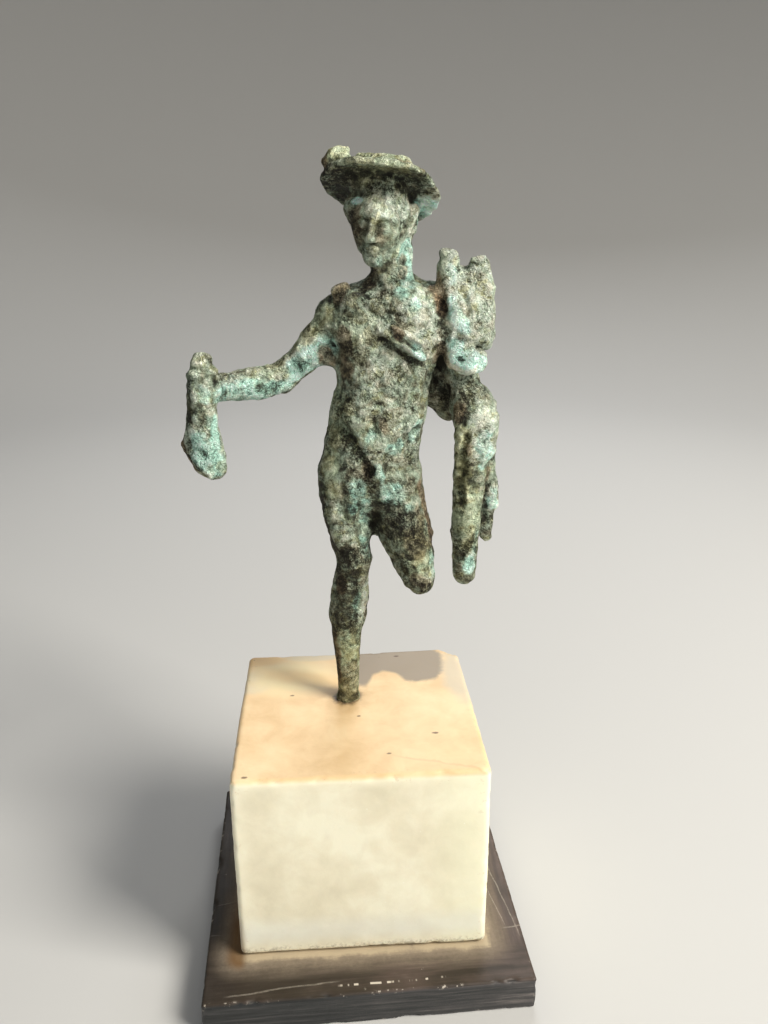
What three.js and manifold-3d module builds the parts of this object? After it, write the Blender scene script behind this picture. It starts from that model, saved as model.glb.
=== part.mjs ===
// A small solid-cast bronze figure of a young god: broad hat tipped back, purse in the right hand, cloak
// bunched on the left shoulder and hanging from the left forearm, the right foot and the left lower leg
// broken away. The ankle stands on a marble block, and the block on a dark slab.
// Millimetres, +Z up, the figure facing -Y, the origin under the middle of the slab.
import * as THREE from "three";
import { mergeVertices } from "three/addons/utils/BufferGeometryUtils.js";
import Module from "manifold-3d";

// Driving dimensions, in millimetres and degrees.
const SLAB_WIDTH = 55;
const SLAB_DEPTH = 55;
const SLAB_THICKNESS = 6.2;
const SLAB_EDGE = 0.5;
const BLOCK_WIDTH = 42;
const BLOCK_DEPTH = 41;
const BLOCK_HEIGHT = 35;
const BLOCK_EDGE = 0.9;
const BLOCK_TURN = -1.6;
const BLOCK_SET_BACK = 1.7;
const CORNER_CHIP = 3.2;
const BEDDING = 0.3;
const FIGURE_HEIGHT = 94;
const ANKLE_ACROSS = -1.5;
const ANKLE_BACK = 3.7;

// The figure is drawn in hundredths of its height: x to the viewer's right, y back, z up from the ankle.
const UNIT = FIGURE_HEIGHT / 100;
const CELLS_IN_HEIGHT = 70;
const HEAD_BOTTOM = 80;
const HEAD_CELL_SHARE = 0.68;

const radians = THREE.MathUtils.degToRad;

// A limb: balls strung on a line, each knot [x, y, z, radius], with the gaps filled by cones.
// depth flattens it front to back, and blend is how far it melts into what it joins.
function limb(blend, depth, ...knots) {
  const pieces = knots.slice(1).map((end, i) => [knots[i], end]);
  const distance = (x, y, z) => {
    let least = Infinity;
    for (const [a, b] of pieces) {
      const along = [b[0] - a[0], (b[1] - a[1]) / depth, b[2] - a[2]];
      const from = [x - a[0], (y - a[1]) / depth, z - a[2]];
      const square = along[0] ** 2 + along[1] ** 2 + along[2] ** 2;
      const dot = from[0] * along[0] + from[1] * along[1] + from[2] * along[2];
      const t = THREE.MathUtils.clamp(dot / square, 0, 1);
      const gap = Math.hypot(from[0] - t * along[0], from[1] - t * along[1], from[2] - t * along[2]);
      least = Math.min(least, gap - a[3] - t * (b[3] - a[3]));
    }
    return least;
  };
  const box = new THREE.Box3();
  for (const [x, y, z, r] of knots) {
    box.union(new THREE.Sphere(new THREE.Vector3(x, y, z), r).getBoundingBox(new THREE.Box3()));
  }
  return { blend, distance, box };
}

// A hollow pressed into the surface: a limb that is taken away.
function hollow(blend, ...knots) {
  return { ...limb(blend, 1, ...knots), carve: true };
}

// The same forms seen from a frame of their own, set at a point and turned by degrees about x, y and z.
function placed(origin, turns, forms) {
  const there = new THREE.Matrix4().makeRotationFromEuler(new THREE.Euler(...turns.map(radians), "ZYX"));
  there.setPosition(...origin);
  const back = there.clone().invert();
  const point = new THREE.Vector3();
  return forms.map((form) => ({
    ...form,
    box: form.box.clone().applyMatrix4(there),
    distance: (x, y, z) => {
      point.set(x, y, z).applyMatrix4(back);
      return form.distance(point.x, point.y, point.z);
    },
  }));
}

// The smooth lesser of two distances: it rounds the corner between them over the blend's width.
function melt(a, b, blend) {
  const share = Math.max(blend - Math.abs(a - b), 0) / blend;
  return Math.min(a, b) - (share * share * blend) / 4;
}

function fieldOf(forms) {
  return (x, y, z) => {
    let all = 1e3;
    for (const { distance, blend, carve } of forms) {
      const d = distance(x, y, z);
      all = carve ? -melt(-all, d, blend) : melt(all, d, blend);
    }
    return all;
  };
}

// Trunk: pelvis to shoulders, then the muscles that show on it.
function trunk() {
  const sides = [-1, 1];
  return [
    limb(2, 0.62, [4.9, 0.3, 46.2, 8.6], [5.3, 0, 51, 8.4], [6.2, -0.2, 56.2, 7.9]),
    limb(
      2, 0.62,
      [6.2, -0.2, 56.2, 7.9], [7.2, -0.3, 60.5, 8], [7.2, -0.3, 65, 8.2], [7.6, 0, 70, 8.3],
    ),
    limb(3, 0.9, [-0.6, 0.6, 73.8, 3.1], [7.8, 0.8, 75, 3.6], [14.6, 0.4, 75, 3.6]),
    limb(1.8, 1, [3, 1.6, 76.4, 1.7], [8.6, 0.8, 78.4, 2.4], [13.6, 0.8, 76.2, 1.9]),
    ...sides.map((s) => limb(2.2, 0.7, [7 + s * 2.9, -3, 70.2, 3], [7 + s * 5.6, -2.4, 71.2, 2.8])),
    limb(2.6, 0.6, [6.2, -2, 64, 4.4], [5.4, -2.2, 56, 4.6], [5.2, -1.9, 50.5, 4.2]),
    ...sides.map((s) => limb(2.5, 0.9, [4.9 + s * 4.1, 3.4, 45, 4.2], [4.9 + s * 4.4, 3, 42, 3.8])),
    hollow(1.4, [6.4, -6.5, 66, 0.45], [5.6, -6.6, 58, 0.45], [5.4, -6.2, 54.5, 0.4]),
    hollow(1.6, [1.8, -5.6, 66, 0.4], [3.6, -6.4, 65.4, 0.45], [5.6, -6.4, 66.4, 0.4]),
    limb(1.2, 1, [0.9, -2.7, 57.8, 1.7], [1.8, -3.4, 56, 1.6]),
    limb(1.4, 1, [12, -2.8, 56.4, 1.8], [11, -3.4, 54.6, 1.5]),
    hollow(1, [-1.6, -3.4, 55.6, 0.9], [0.4, -4.9, 54, 1], [2.5, -5.7, 50.8, 0.9], [4.1, -5.7, 46.6, 0.9]),
    hollow(1, [12.8, -3.6, 54.4, 0.7], [10.7, -5, 52.8, 0.8], [8, -5.8, 50.2, 0.8], [7, -5.7, 47.6, 0.7]),
    limb(1, 1, [5.9, -5.3, 48.6, 0.9], [5.8, -5.4, 46, 1]),
    hollow(0.8, [5.6, -5.2, 44.2, 0.6], [5.4, -4.8, 40.5, 0.6], [5.3, -4.4, 37.5, 0.5]),
    limb(1.2, 1, [5.4, -0.6, 40, 1.6], [5.4, -0.8, 36.2, 1.2]),
    hollow(1, [5.4, -6.3, 55.4, 0.6], [5.4, -6.3, 54.9, 0.6]),
    hollow(1.5, [4.9, 6.6, 48, 0.8], [4.9, 7.2, 40, 0.8]),
    hollow(2.2, [6.4, 6.2, 70, 0.9], [5.8, 6, 60, 0.9], [5.2, 6, 52, 0.9]),
  ];
}

// Legs: the right one bears the weight down to the broken ankle, and the left thigh ends in a worn stump.
function legs() {
  return [
    limb(
      2.5, 1,
      [0.6, 0.4, 45, 4.8], [0.4, -0.5, 39.5, 4.45], [1, -0.9, 33.4, 3.6], [1.75, -1.2, 29.3, 2.8],
    ),
    limb(
      1.5, 1,
      [1.75, -1.2, 29.3, 2.8], [0.7, -0.2, 24.2, 3.1], [0.55, 0.7, 21, 3.5], [0.3, 0.8, 17.6, 3.35],
    ),
    limb(
      1.2, 1,
      [0.3, 0.8, 17.6, 3.35], [0, 0.5, 14.4, 2.9], [0, 0.2, 9.5, 2.4], [0, 0, 1.2, 1.95], [0, 0, -2, 1.95],
    ),
    limb(1.2, 0.8, [1.2, -3.2, 30.2, 1.6], [1, -3.1, 28.2, 1.4]),
    limb(1.2, 1, [-1.6, -2.6, 39, 1.8], [-0.9, -3.2, 34, 1.3]),
    limb(1, 1, [2.8, -2.6, 35.5, 1.6], [2.6, -3, 31.5, 1.2]),
    limb(0.8, 1, [3.3, -0.6, 24.6, 0.9], [3, 0.2, 21.2, 1.2]),
    limb(
      1.6, 1,
      [9.2, 0, 44, 4.8], [9.9, -0.8, 39, 5], [10.9, -1.9, 34.9, 4.75], [12.1, -3.2, 30.7, 4],
      [13.1, -4.1, 27.2, 3.15], [13.5, -4.4, 26, 2.5],
    ),
    limb(0.8, 1, [14.4, -0.6, 37, 1.1], [15.3, -1.4, 34.2, 0.9]),
    ...crust(),
  ];
}

// The rough lumps round the break at the ankle.
function crust() {
  const lumps = 7;
  return Array.from({ length: lumps }, (_, i) => {
    const angle = (i * 2 * Math.PI) / lumps + 0.3;
    const reach = 1.5 + 0.2 * Math.cos(3 * angle);
    const x = reach * Math.cos(angle);
    const y = reach * Math.sin(angle);
    return limb(0.6, 1, [x, y, 0.1, 0.8], [x * 0.8, y * 0.8, 1.1, 0.7]);
  });
}

// Right arm, held out and bent forward, and the purse that hangs from the fist.
function rightArm() {
  return [
    limb(
      1.5, 1,
      [-0.8, 0.5, 73, 2.9], [-3.3, 0.6, 69.8, 2.95], [-7, 0.9, 65.5, 2.6], [-10.4, 1, 62.8, 2.45],
    ),
    limb(
      1, 1,
      [-10.4, 1, 62.8, 2.5], [-13.6, -0.6, 62.1, 2.7], [-17, -2.4, 62.2, 2.6], [-20.4, -4.2, 62.2, 2.2],
    ),
    limb(1.2, 1, [-3.6, 0.4, 67.2, 2], [-1, 0.4, 66.8, 2.2]),
    limb(1, 1, [-12.6, -1.2, 64.2, 1.2], [-14.8, -2.2, 64, 1]),
    limb(1.2, 0.9, [-21.4, -4.8, 62.8, 2.1], [-22.8, -5.6, 62, 2.3]),
    limb(
      0.8, 1,
      [-22.9, -6, 66.6, 1.75], [-23.1, -6, 64.2, 2.2], [-23.3, -6, 60.6, 2.2], [-23.3, -6, 58.4, 2.3],
    ),
    limb(0.6, 1, [-23.2, -6.5, 67.8, 0.9], [-22, -6.5, 67.8, 0.9]),
    limb(
      1, 0.9,
      [-23.3, -6, 58.4, 2.3], [-23.5, -6, 54.2, 3], [-22.8, -6, 51, 2.9], [-21.9, -6, 48.9, 2.1],
    ),
    limb(0.8, 1, [-24.6, -6, 54.4, 1.7], [-26.3, -5.9, 52.8, 1.1]),
    ...[0, 1, 2, 3].map((i) => {
      const z = 65.4 - 1.7 * i;
      return limb(0.6, 1, [-20.9, -6.6, z, 0.9], [-22.8, -7.7, z - 0.3, 0.9], [-24.7, -6.4, z - 0.6, 0.8]);
    }),
  ];
}

// Head, turned and tilted a little to the figure's right, in a frame of its own at the middle of the skull.
function head() {
  const sides = [-1, 1];
  const skull = [
    limb(1.5, 1, [0, -0.3, 1.6, 4.7], [0, 2, 1.8, 4.9]),
    limb(1.5, 1, [0, -1.3, 1.2, 4.3], [0, -2, -2, 3.3], [0, -3.2, -4.5, 1.6]),
    ...sides.map((s) => limb(1.2, 1, [s * 2.7, 0, -2.2, 1.8], [s * 0.6, -3.2, -4.8, 1.2])),
    ...sides.map((s) => limb(0.8, 1, [0, -5.3, 1.9, 0.6], [s * 2.9, -4.4, 1.7, 0.6])),
    ...sides.map((s) => hollow(0.9, [s * 1.3, -6, 0.2, 0.7], [s * 2.4, -5.4, 0.2, 0.7])),
    limb(0.8, 1, [0, -5.3, 1.2, 0.7], [0, -6.3, -1.7, 1]),
    limb(0.6, 1, [-1, -5, -3.6, 0.5], [0, -5.4, -3.6, 0.6], [1, -5, -3.6, 0.5]),
    limb(0.7, 1, [-0.4, -4.2, -5.5, 0.95], [0.4, -4.2, -5.5, 0.95]),
    ...sides.map((s) => limb(
      0.8, 1,
      [s * 4.6, 0.4, 2, 1.2], [s * 4.5, 1.6, -0.8, 1.3], [s * 3.4, 3.6, -2.8, 1.7],
    )),
    limb(0.8, 1, [-3, 4.6, -2.6, 1.5], [3, 4.6, -2.6, 1.5]),
  ];
  return [
    limb(2, 1, [8.8, 0.8, 76.5, 3.7], [8.6, 0.5, 81, 3.3], [8, 1, 86, 3.6]),
    limb(1, 1, [11.3, -0.6, 83, 1], [11, -2.2, 77.4, 1]),
    limb(1, 1, [6.4, -0.6, 82.6, 0.9], [9, -2.8, 76.6, 0.8]),
    limb(0.8, 1, [2.6, -0.4, 90.6, 1.8], [2.9, -0.6, 89.2, 1.5], [3.4, -0.6, 87.8, 1]),
    ...placed([7.1, -0.1, 88.2], [4, 7, -18], skull),
  ];
}

// Hat: a round brim, tipped back, with its sides drooping, its front edge bent down and a piece gone from
// its back edge, under a low crown and one worn wing.
function hat() {
  const radius = 9.9;
  const half = 0.9;
  const gone = 1.5;
  const lowest = 4;
  const brim = {
    blend: 1,
    box: new THREE.Box3(
      new THREE.Vector3(-radius, -radius, -lowest),
      new THREE.Vector3(radius, radius, half),
    ),
    distance: (x, y, z) => {
      const angle = Math.atan2(x, -y);
      const edge = radius - gone * Math.exp(-(((angle + 2.2) / 0.6) ** 2));
      const sides = x > 0 ? 1.7 + 1.6 * THREE.MathUtils.smoothstep(y, -2, 6) : 1.2;
      const lift = z + sides * (x / radius) ** 2 + 0.045 * Math.max(-y - 3.5, 0) ** 2;
      return Math.hypot(Math.max(Math.hypot(x, y) - edge + half, 0), lift) - half;
    },
  };
  return placed([6.7, 0.3, 94.1], [-27, 6.5, 0], [
    brim,
    limb(1.2, 1, [1.4, -0.2, 0.2, 4.3], [1.6, 0.8, 0.5, 4]),
    limb(1, 1, [-2, -0.6, 0.4, 3.5], [-1.6, 1, 0.6, 3.5]),
    limb(0.7, 1, [-3.6, -6.6, 0.1, 0.9], [0.4, -7, 0.1, 1], [3.4, -6.4, 0.3, 0.95]),
    limb(
      0.8, 1,
      [-8.4, -4, 0.4, 1.1], [-7.8, -4.6, 1.2, 1.2], [-5.8, -4.7, 1.4, 1.2], [-5.2, -2.8, 0.9, 1.3],
    ),
  ]);
}

// Cloak: pinned on the right shoulder, drawn over the chest, heaped on the left shoulder, down the back and
// over the forearm, from which a long end and a short one hang.
function cloak() {
  return [
    limb(0.9, 1, [-0.4, -1.5, 77.3, 1.2], [0.9, -2, 76.8, 1.3]),
    limb(0.6, 1, [-0.2, -1.4, 76.2, 1.2], [1.4, -2.4, 75.4, 1.2]),
    limb(1.4, 0.9, [2.2, -2.8, 76.4, 1], [5.4, -4, 75, 1.1], [9.2, -4.2, 75.4, 1.1], [12.8, -3, 77.4, 1.2]),
    limb(
      1.8, 0.9,
      [2.4, -3, 75.2, 1.1], [7.2, -4.2, 71.8, 1.4], [11, -4.2, 69.4, 1.5], [13.4, -3.6, 67.9, 1.5],
    ),
    limb(2.2, 0.9, [10, -2.8, 75.8, 2.2], [13.4, -2.6, 73, 2.6], [14, -2.8, 69.8, 2.2]),
    limb(1.2, 1, [6.4, -4.9, 71.2, 0.9], [9, -5.2, 69.6, 1], [12, -4.9, 67.6, 1.1], [13.4, -4.4, 66.7, 1]),
    limb(0.6, 1, [17.6, -2, 82.9, 0.9], [18.4, -0.6, 82.9, 0.9]),
    limb(1, 1, [18.2, -1.2, 81.4, 1.9], [18.2, -1.6, 76.5, 2.5], [18.6, -2.2, 70.5, 2.5], [20, -2, 66.8, 2.2]),
    limb(1, 1, [20.9, -0.6, 78.8, 2.1], [21.2, -1.8, 75, 2.4], [21.2, -2.4, 70.4, 2.3]),
    limb(1, 1, [23.4, -0.2, 80.8, 2], [23.7, -0.6, 75.5, 2.3], [23.9, -1, 70, 2.4]),
    limb(0.6, 1, [22.4, -1, 82, 0.8], [23.8, -0.8, 82, 0.8]),
    limb(1.2, 1, [20.8, 2, 79, 2.2], [21.2, 2.4, 72, 2.8], [20.6, 1.4, 66.6, 2.4]),
    limb(0.8, 1, [24.3, -0.2, 79.4, 1.2], [24.9, -0.2, 77.4, 1.2]),
    limb(0.4, 1, [25.1, -0.2, 71.6, 1.3], [25, -0.2, 68.4, 1.2]),
    limb(0.7, 1, [19.6, -2.6, 66.6, 2.2], [21.4, -2.6, 65.9, 2.5], [23, -2, 65.7, 2.1]),
    limb(0.8, 1, [18.6, -3.6, 75.6, 0.9], [19.6, -4.1, 72.6, 1], [20.8, -4.2, 70.4, 0.9]),
    hollow(
      0.7,
      [16.2, -3.2, 79, 0.5], [16.8, -4.2, 74.4, 0.9], [17.4, -4.7, 71.4, 1], [16.8, -4.8, 69, 0.5],
    ),
    limb(1.5, 1, [16, 1, 73, 3], [18.6, 1.8, 67, 2.7], [21.4, 1.8, 61.6, 3], [22.2, 0.6, 57.6, 3]),
    limb(1.5, 1, [22, 1, 58, 3], [22.6, -1.2, 56.6, 3]),
    limb(
      0.7, 1,
      [23.8, -0.2, 60, 1.5], [24.8, -1.2, 57.4, 2.3], [25, -1.8, 54.4, 2.5], [24.6, -1.8, 50.4, 2.5],
    ),
    limb(1.2, 1, [24.6, 1.6, 58.4, 2.2], [25.4, 1.4, 53, 2.2]),
    limb(0.6, 1, [26.4, -0.6, 56, 1], [27.1, -0.3, 54.8, 0.8]),
    limb(
      0.9, 1,
      [20.4, -0.6, 59.8, 0.9], [20.5, -2.6, 56.2, 1.1], [20.9, -3.2, 53.8, 1.3], [21, -3.4, 51.4, 1.4],
    ),
    hollow(0.9, [21.9, -2.2, 61, 0.6], [22.2, -4, 57.8, 0.8], [22.2, -4.6, 54.8, 0.6]),
    limb(
      1.2, 0.85,
      [23, -2.2, 55, 3.2], [22.7, -1.4, 49, 3], [22.4, -1, 42, 2.8], [22.1, -0.8, 34, 2.6],
      [22.2, -0.6, 25.8, 2.15],
    ),
    limb(1, 1, [24.4, 0.4, 46, 1.8], [24.6, 0.4, 40, 1.3]),
    limb(0.9, 1, [25.4, 1.4, 53, 2.2], [26, 1.6, 46, 1.65], [26.7, 1.5, 41, 1.75], [27, 1.6, 38.8, 1.75]),
    limb(0.6, 1, [26.5, 1.8, 37.6, 1.3], [26.4, 2, 34.4, 1.15], [26.5, 2, 32, 1]),
    limb(0.4, 1, [25.6, 1.8, 38.4, 1.1], [25.5, 1.8, 34.6, 1], [25.8, 1.8, 32.4, 0.9]),
    hollow(
      0.6,
      [26.6, -1.4, 47.4, 0.5], [26.2, -1, 44.5, 0.6], [25.6, -0.6, 40.5, 0.65], [25.3, -0.4, 37.2, 0.5],
    ),
    hollow(
      0.6,
      [21.2, -4.6, 53, 0.6], [20.8, -3.8, 47, 0.7], [20.7, -3.3, 42, 0.7], [21.5, -3.5, 38.6, 0.45],
    ),
    limb(1.2, 1, [15, 3, 66, 2.2], [16.6, 3.4, 60, 1.8], [19, 3, 56, 1.8]),
    limb(1, 1, [14.2, 2.6, 62, 1.8], [15.2, 2.8, 58.8, 1.5], [18.4, 3, 56.8, 1.6]),
    limb(1.5, 1, [16, 3.6, 76, 2.6], [18.5, 4.4, 67, 2.5], [20, 3.8, 58, 2.2]),
    limb(1.2, 1, [11, 4, 77, 1.8], [13, 5, 69, 1.9], [16, 4.8, 60, 1.6]),
    ...[0, 1, 2].map((i) => {
      const [x, y] = [2.5 * i, -0.6 * i];
      return hollow(
        0.8,
        [13.2 + x, 7.2 + y, 75, 0.5], [15.4 + x, 7.6 + y, 67, 0.5], [17.2 + x, 6.9 + y, 59, 0.4],
      );
    }),
  ];
}

// Closes every place where filled cells of the grid meet only at an edge or a corner, so that the skin
// never pinches.
function closePinches(values, count) {
  const step = [1, count[0], count[0] * count[1]];
  const inside = (i) => values[i] < 0;
  const fill = (i) => {
    values[i] = -0.05;
  };
  for (let changed = true; changed; ) {
    changed = false;
    for (let i = 0; i < values.length - step[0] - step[1] - step[2]; i++) {
      for (const [u, v] of [[0, 1], [0, 2], [1, 2]]) {
        const [a, b, c, d] = [i, i + step[u], i + step[v], i + step[u] + step[v]];
        if (inside(a) !== inside(d) || inside(b) !== inside(c) || inside(a) === inside(b)) continue;
        const open = inside(a) ? [b, c] : [a, d];
        fill(values[open[0]] < values[open[1]] ? open[0] : open[1]);
        changed = true;
      }
      const cell = [0, 1, 2, 3, 4, 5, 6, 7].map(
        (c) => i + (c & 1) * step[0] + ((c >> 1) & 1) * step[1] + (c >> 2) * step[2],
      );
      const filled = cell.filter(inside);
      const lone = filled.length === 2 ? filled : filled.length === 6 ? cell.filter((c) => !inside(c)) : [];
      if (lone.length && cell.indexOf(lone[0]) + cell.indexOf(lone[1]) === 7) {
        fill(filled.length === 2 ? cell[cell.indexOf(lone[0]) ^ 1] : lone[0]);
        changed = true;
      }
    }
  }
}

// Places of the grid along one axis: steps of one width, and narrower ones past the bottom of the head.
function gridLine(low, high, step, headBottom) {
  const line = [low];
  while (line.at(-1) < high) line.push(line.at(-1) + (line.at(-1) < headBottom ? step : step * HEAD_CELL_SHARE));
  return line;
}

// The skin of forms melted together, on a grid over the box that holds them: a vertex in each cell that the
// surface crosses, at the mean of the crossings on the cell's edges, and two triangles round each grid edge
// that changes sign.
function skin(forms, step) {
  const field = fieldOf(forms);
  const box = forms.reduce((all, form) => all.union(form.box), new THREE.Box3()).expandByScalar(2 * step);
  const [low, high] = [box.min.toArray(), box.max.toArray()];
  const lines = [Infinity, Infinity, HEAD_BOTTOM].map((bottom, i) => gridLine(low[i], high[i], step, bottom));
  const count = lines.map((line) => line.length);
  const stride = [1, count[0], count[0] * count[1]];
  const values = new Float32Array(count[0] * count[1] * count[2]);
  const place = (i) => [i % count[0], Math.floor(i / stride[1]) % count[1], Math.floor(i / stride[2])];
  const corner = (i) => place(i).map((n, axis) => lines[axis][n]);
  for (let i = 0; i < values.length; i++) values[i] = field(...corner(i));
  closePinches(values, count);

  const sums = new Map();
  const quads = [];
  for (let i = 0; i < values.length; i++) {
    const cell = place(i);
    for (let axis = 0; axis < 3; axis++) {
      const j = i + stride[axis];
      if (cell[axis] + 1 >= count[axis] || values[i] < 0 === values[j] < 0) continue;
      const crossing = corner(i);
      const width = lines[axis][cell[axis] + 1] - lines[axis][cell[axis]];
      crossing[axis] += (width * values[i]) / (values[i] - values[j]);
      const [u, v] = [(axis + 1) % 3, (axis + 2) % 3];
      const ring = [i, i - stride[u], i - stride[u] - stride[v], i - stride[v]];
      for (const c of ring) {
        const sum = sums.get(c) ?? [0, 0, 0, 0];
        sums.set(c, [sum[0] + crossing[0], sum[1] + crossing[1], sum[2] + crossing[2], sum[3] + 1]);
      }
      quads.push(values[i] < 0 ? ring : ring.reverse());
    }
  }
  const order = new Map([...sums.keys()].map((c, n) => [c, n]));
  const points = [...sums.values()].map(([x, y, z, n]) => new THREE.Vector3(x / n, y / n, z / n));
  const faces = quads.flatMap((ring) => {
    const [a, b, c, d] = ring.map((n) => order.get(n));
    const flat = points[a].distanceTo(points[c]) <= points[b].distanceTo(points[d]);
    return flat ? [a, b, c, a, c, d] : [a, b, d, b, c, d];
  });
  return new THREE.BufferGeometry().setFromPoints(points).setIndex(faces);
}

const wasm = await Module();
wasm.setup();

function solid(geometry) {
  const bare = geometry.clone();
  bare.deleteAttribute("normal");
  bare.deleteAttribute("uv");
  const merged = mergeVertices(bare, 1e-4);
  const { array } = merged.attributes.position;
  const vertProperties = new Float32Array(array);
  const triVerts = new Uint32Array(merged.index.array);
  return new wasm.Manifold(new wasm.Mesh({ numProp: 3, vertProperties, triVerts }));
}

function geometryOf(manifold) {
  const { vertProperties, triVerts } = manifold.getMesh();
  const geometry = new THREE.BufferGeometry()
    .setAttribute("position", new THREE.BufferAttribute(vertProperties, 3))
    .setIndex(new THREE.BufferAttribute(triVerts, 1));
  geometry.computeVertexNormals();
  return geometry;
}

// A box whose twelve edges are eased, standing on z = 0.
function easedBox(width, depth, height, edge) {
  const outline = new THREE.Shape();
  const [x, y] = [width / 2 - edge, depth / 2 - edge];
  outline.moveTo(-x, -y).lineTo(x, -y).lineTo(x, y).lineTo(-x, y);
  return new THREE.ExtrudeGeometry(outline, {
    depth: height - 2 * edge,
    bevelThickness: edge,
    bevelSize: edge,
    bevelSegments: 3,
  }).translate(0, 0, edge);
}

// The figure in millimetres, cut off flat where it stands.
function figureGeometry() {
  const forms = [...trunk(), ...legs(), ...rightArm(), ...head(), ...hat(), ...cloak()];
  const cast = skin(forms, 100 / CELLS_IN_HEIGHT).scale(UNIT, UNIT, UNIT);
  const below = new THREE.BoxGeometry(FIGURE_HEIGHT, FIGURE_HEIGHT, FIGURE_HEIGHT);
  below.translate(0, 0, -FIGURE_HEIGHT / 2);
  return geometryOf(solid(cast).subtract(solid(below)));
}

// The block, with its top corner behind on the right knocked off.
function blockGeometry() {
  const block = easedBox(BLOCK_WIDTH, BLOCK_DEPTH, BLOCK_HEIGHT, BLOCK_EDGE);
  const [across, back] = [BLOCK_WIDTH / 2 - CORNER_CHIP / 2, BLOCK_DEPTH / 2 - CORNER_CHIP / 2];
  const knocked = new THREE.BoxGeometry(CORNER_CHIP * 4, CORNER_CHIP * 4, CORNER_CHIP * 4);
  knocked.translate(CORNER_CHIP * 2, 0, 0).rotateY(radians(-35)).rotateZ(radians(45));
  knocked.translate(across, back, BLOCK_HEIGHT - CORNER_CHIP / 4);
  return geometryOf(solid(block).subtract(solid(knocked)));
}

const bronze = new THREE.MeshStandardMaterial({ color: 0x6f7a5e, roughness: 0.85, metalness: 0.25 });
const marble = new THREE.MeshStandardMaterial({ color: 0xe6d9b4, roughness: 0.55, metalness: 0 });
const slate = new THREE.MeshStandardMaterial({ color: 0x3a332e, roughness: 0.7, metalness: 0 });

function named(name, geometry, material) {
  const mesh = new THREE.Mesh(geometry, material);
  mesh.name = name;
  return mesh;
}

const slab = named("slab", easedBox(SLAB_WIDTH, SLAB_DEPTH, SLAB_THICKNESS, SLAB_EDGE), slate);

const block = named("block", blockGeometry(), marble);

const figure = named("figure", figureGeometry(), bronze);
figure.position.set(ANKLE_ACROSS, ANKLE_BACK, BLOCK_HEIGHT + BEDDING);

const mounted = new THREE.Group();
mounted.position.set(0, BLOCK_SET_BACK, SLAB_THICKNESS + BEDDING);
mounted.rotation.z = radians(BLOCK_TURN);
mounted.add(block, figure);

const statuette = new THREE.Group();
statuette.add(slab, mounted);

export default statuette;
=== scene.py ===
import itertools
import math

import bpy
import numpy as np
from mathutils import Euler, Matrix, Vector


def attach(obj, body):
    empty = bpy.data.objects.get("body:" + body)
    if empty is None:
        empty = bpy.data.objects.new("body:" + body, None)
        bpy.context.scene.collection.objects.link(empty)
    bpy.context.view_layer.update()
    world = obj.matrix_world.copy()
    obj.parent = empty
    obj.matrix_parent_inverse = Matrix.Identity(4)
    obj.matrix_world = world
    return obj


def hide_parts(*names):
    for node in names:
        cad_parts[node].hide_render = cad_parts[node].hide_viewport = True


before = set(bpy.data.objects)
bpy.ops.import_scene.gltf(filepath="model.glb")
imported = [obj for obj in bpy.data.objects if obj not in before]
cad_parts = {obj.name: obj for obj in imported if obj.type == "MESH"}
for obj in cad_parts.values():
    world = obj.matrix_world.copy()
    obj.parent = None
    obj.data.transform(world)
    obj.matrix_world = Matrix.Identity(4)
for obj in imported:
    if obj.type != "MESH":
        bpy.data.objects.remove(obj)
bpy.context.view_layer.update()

# Slab
# A square of dark slate, sawn from a thicker piece and rubbed smooth on top. Its edges are nicked and
# chipped pale, saw lines run along its front, and dust has gathered round the block that stands on it.
SLAB_SIZE = np.array((0.055, 0.055, 0.0062))
SLAB_EDGE = 0.0005
SLAB_SPACING = 0.00055


def cell_lines(length, edge, spacing):
    """Grid lines along one side of a box: five across each eased edge, three more beside it, and the rest
    evenly spaced."""
    near = np.array((0, 0.25, 0.5, 0.75, 1, 1.4, 2, 2.8)) * edge
    inner = length / 2 - near[-1]
    middle = np.linspace(-inner, inner, max(int(round(2 * inner / spacing)), 1) + 1)[1:-1]
    return np.concatenate((near - length / 2, middle, length / 2 - near[::-1]))


def box_skin(size, edge, spacing):
    """Points, outward directions and quads of a box with eased edges, standing on z = 0.

    A lattice of grid lines is laid over the box and only its outer points are kept. Each is pulled in to a
    smaller box, one edge width inside, and pushed out again by the edge width along the line between the two.
    """
    lines = [cell_lines(length, edge, spacing) for length in size]
    count = [len(line) for line in lines]
    index = np.stack(np.meshgrid(*[np.arange(n) for n in count], indexing="ij"), -1).reshape(-1, 3)
    outer = ((index == 0) | (index == np.array(count) - 1)).any(1)
    number = np.full(len(index), -1)
    number[outer] = np.arange(outer.sum())
    number = number.reshape(count)
    corner = np.stack([lines[axis][index[outer, axis]] for axis in range(3)], -1)
    inner = np.clip(corner, edge - np.array(size) / 2, np.array(size) / 2 - edge)
    out = corner - inner
    out /= np.linalg.norm(out, axis=1, keepdims=True)
    quads = []
    for axis, far in itertools.product(range(3), (0, -1)):
        face = np.moveaxis(number, axis, 0)[far]
        ring = np.stack((face[:-1, :-1], face[1:, :-1], face[1:, 1:], face[:-1, 1:]), -1).reshape(-1, 4)
        quads.append(ring if (far == -1) != (axis == 1) else ring[:, ::-1])
    return inner + out * edge + (0, 0, size[2] / 2), out, np.concatenate(quads)


LATTICE = 24


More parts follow.
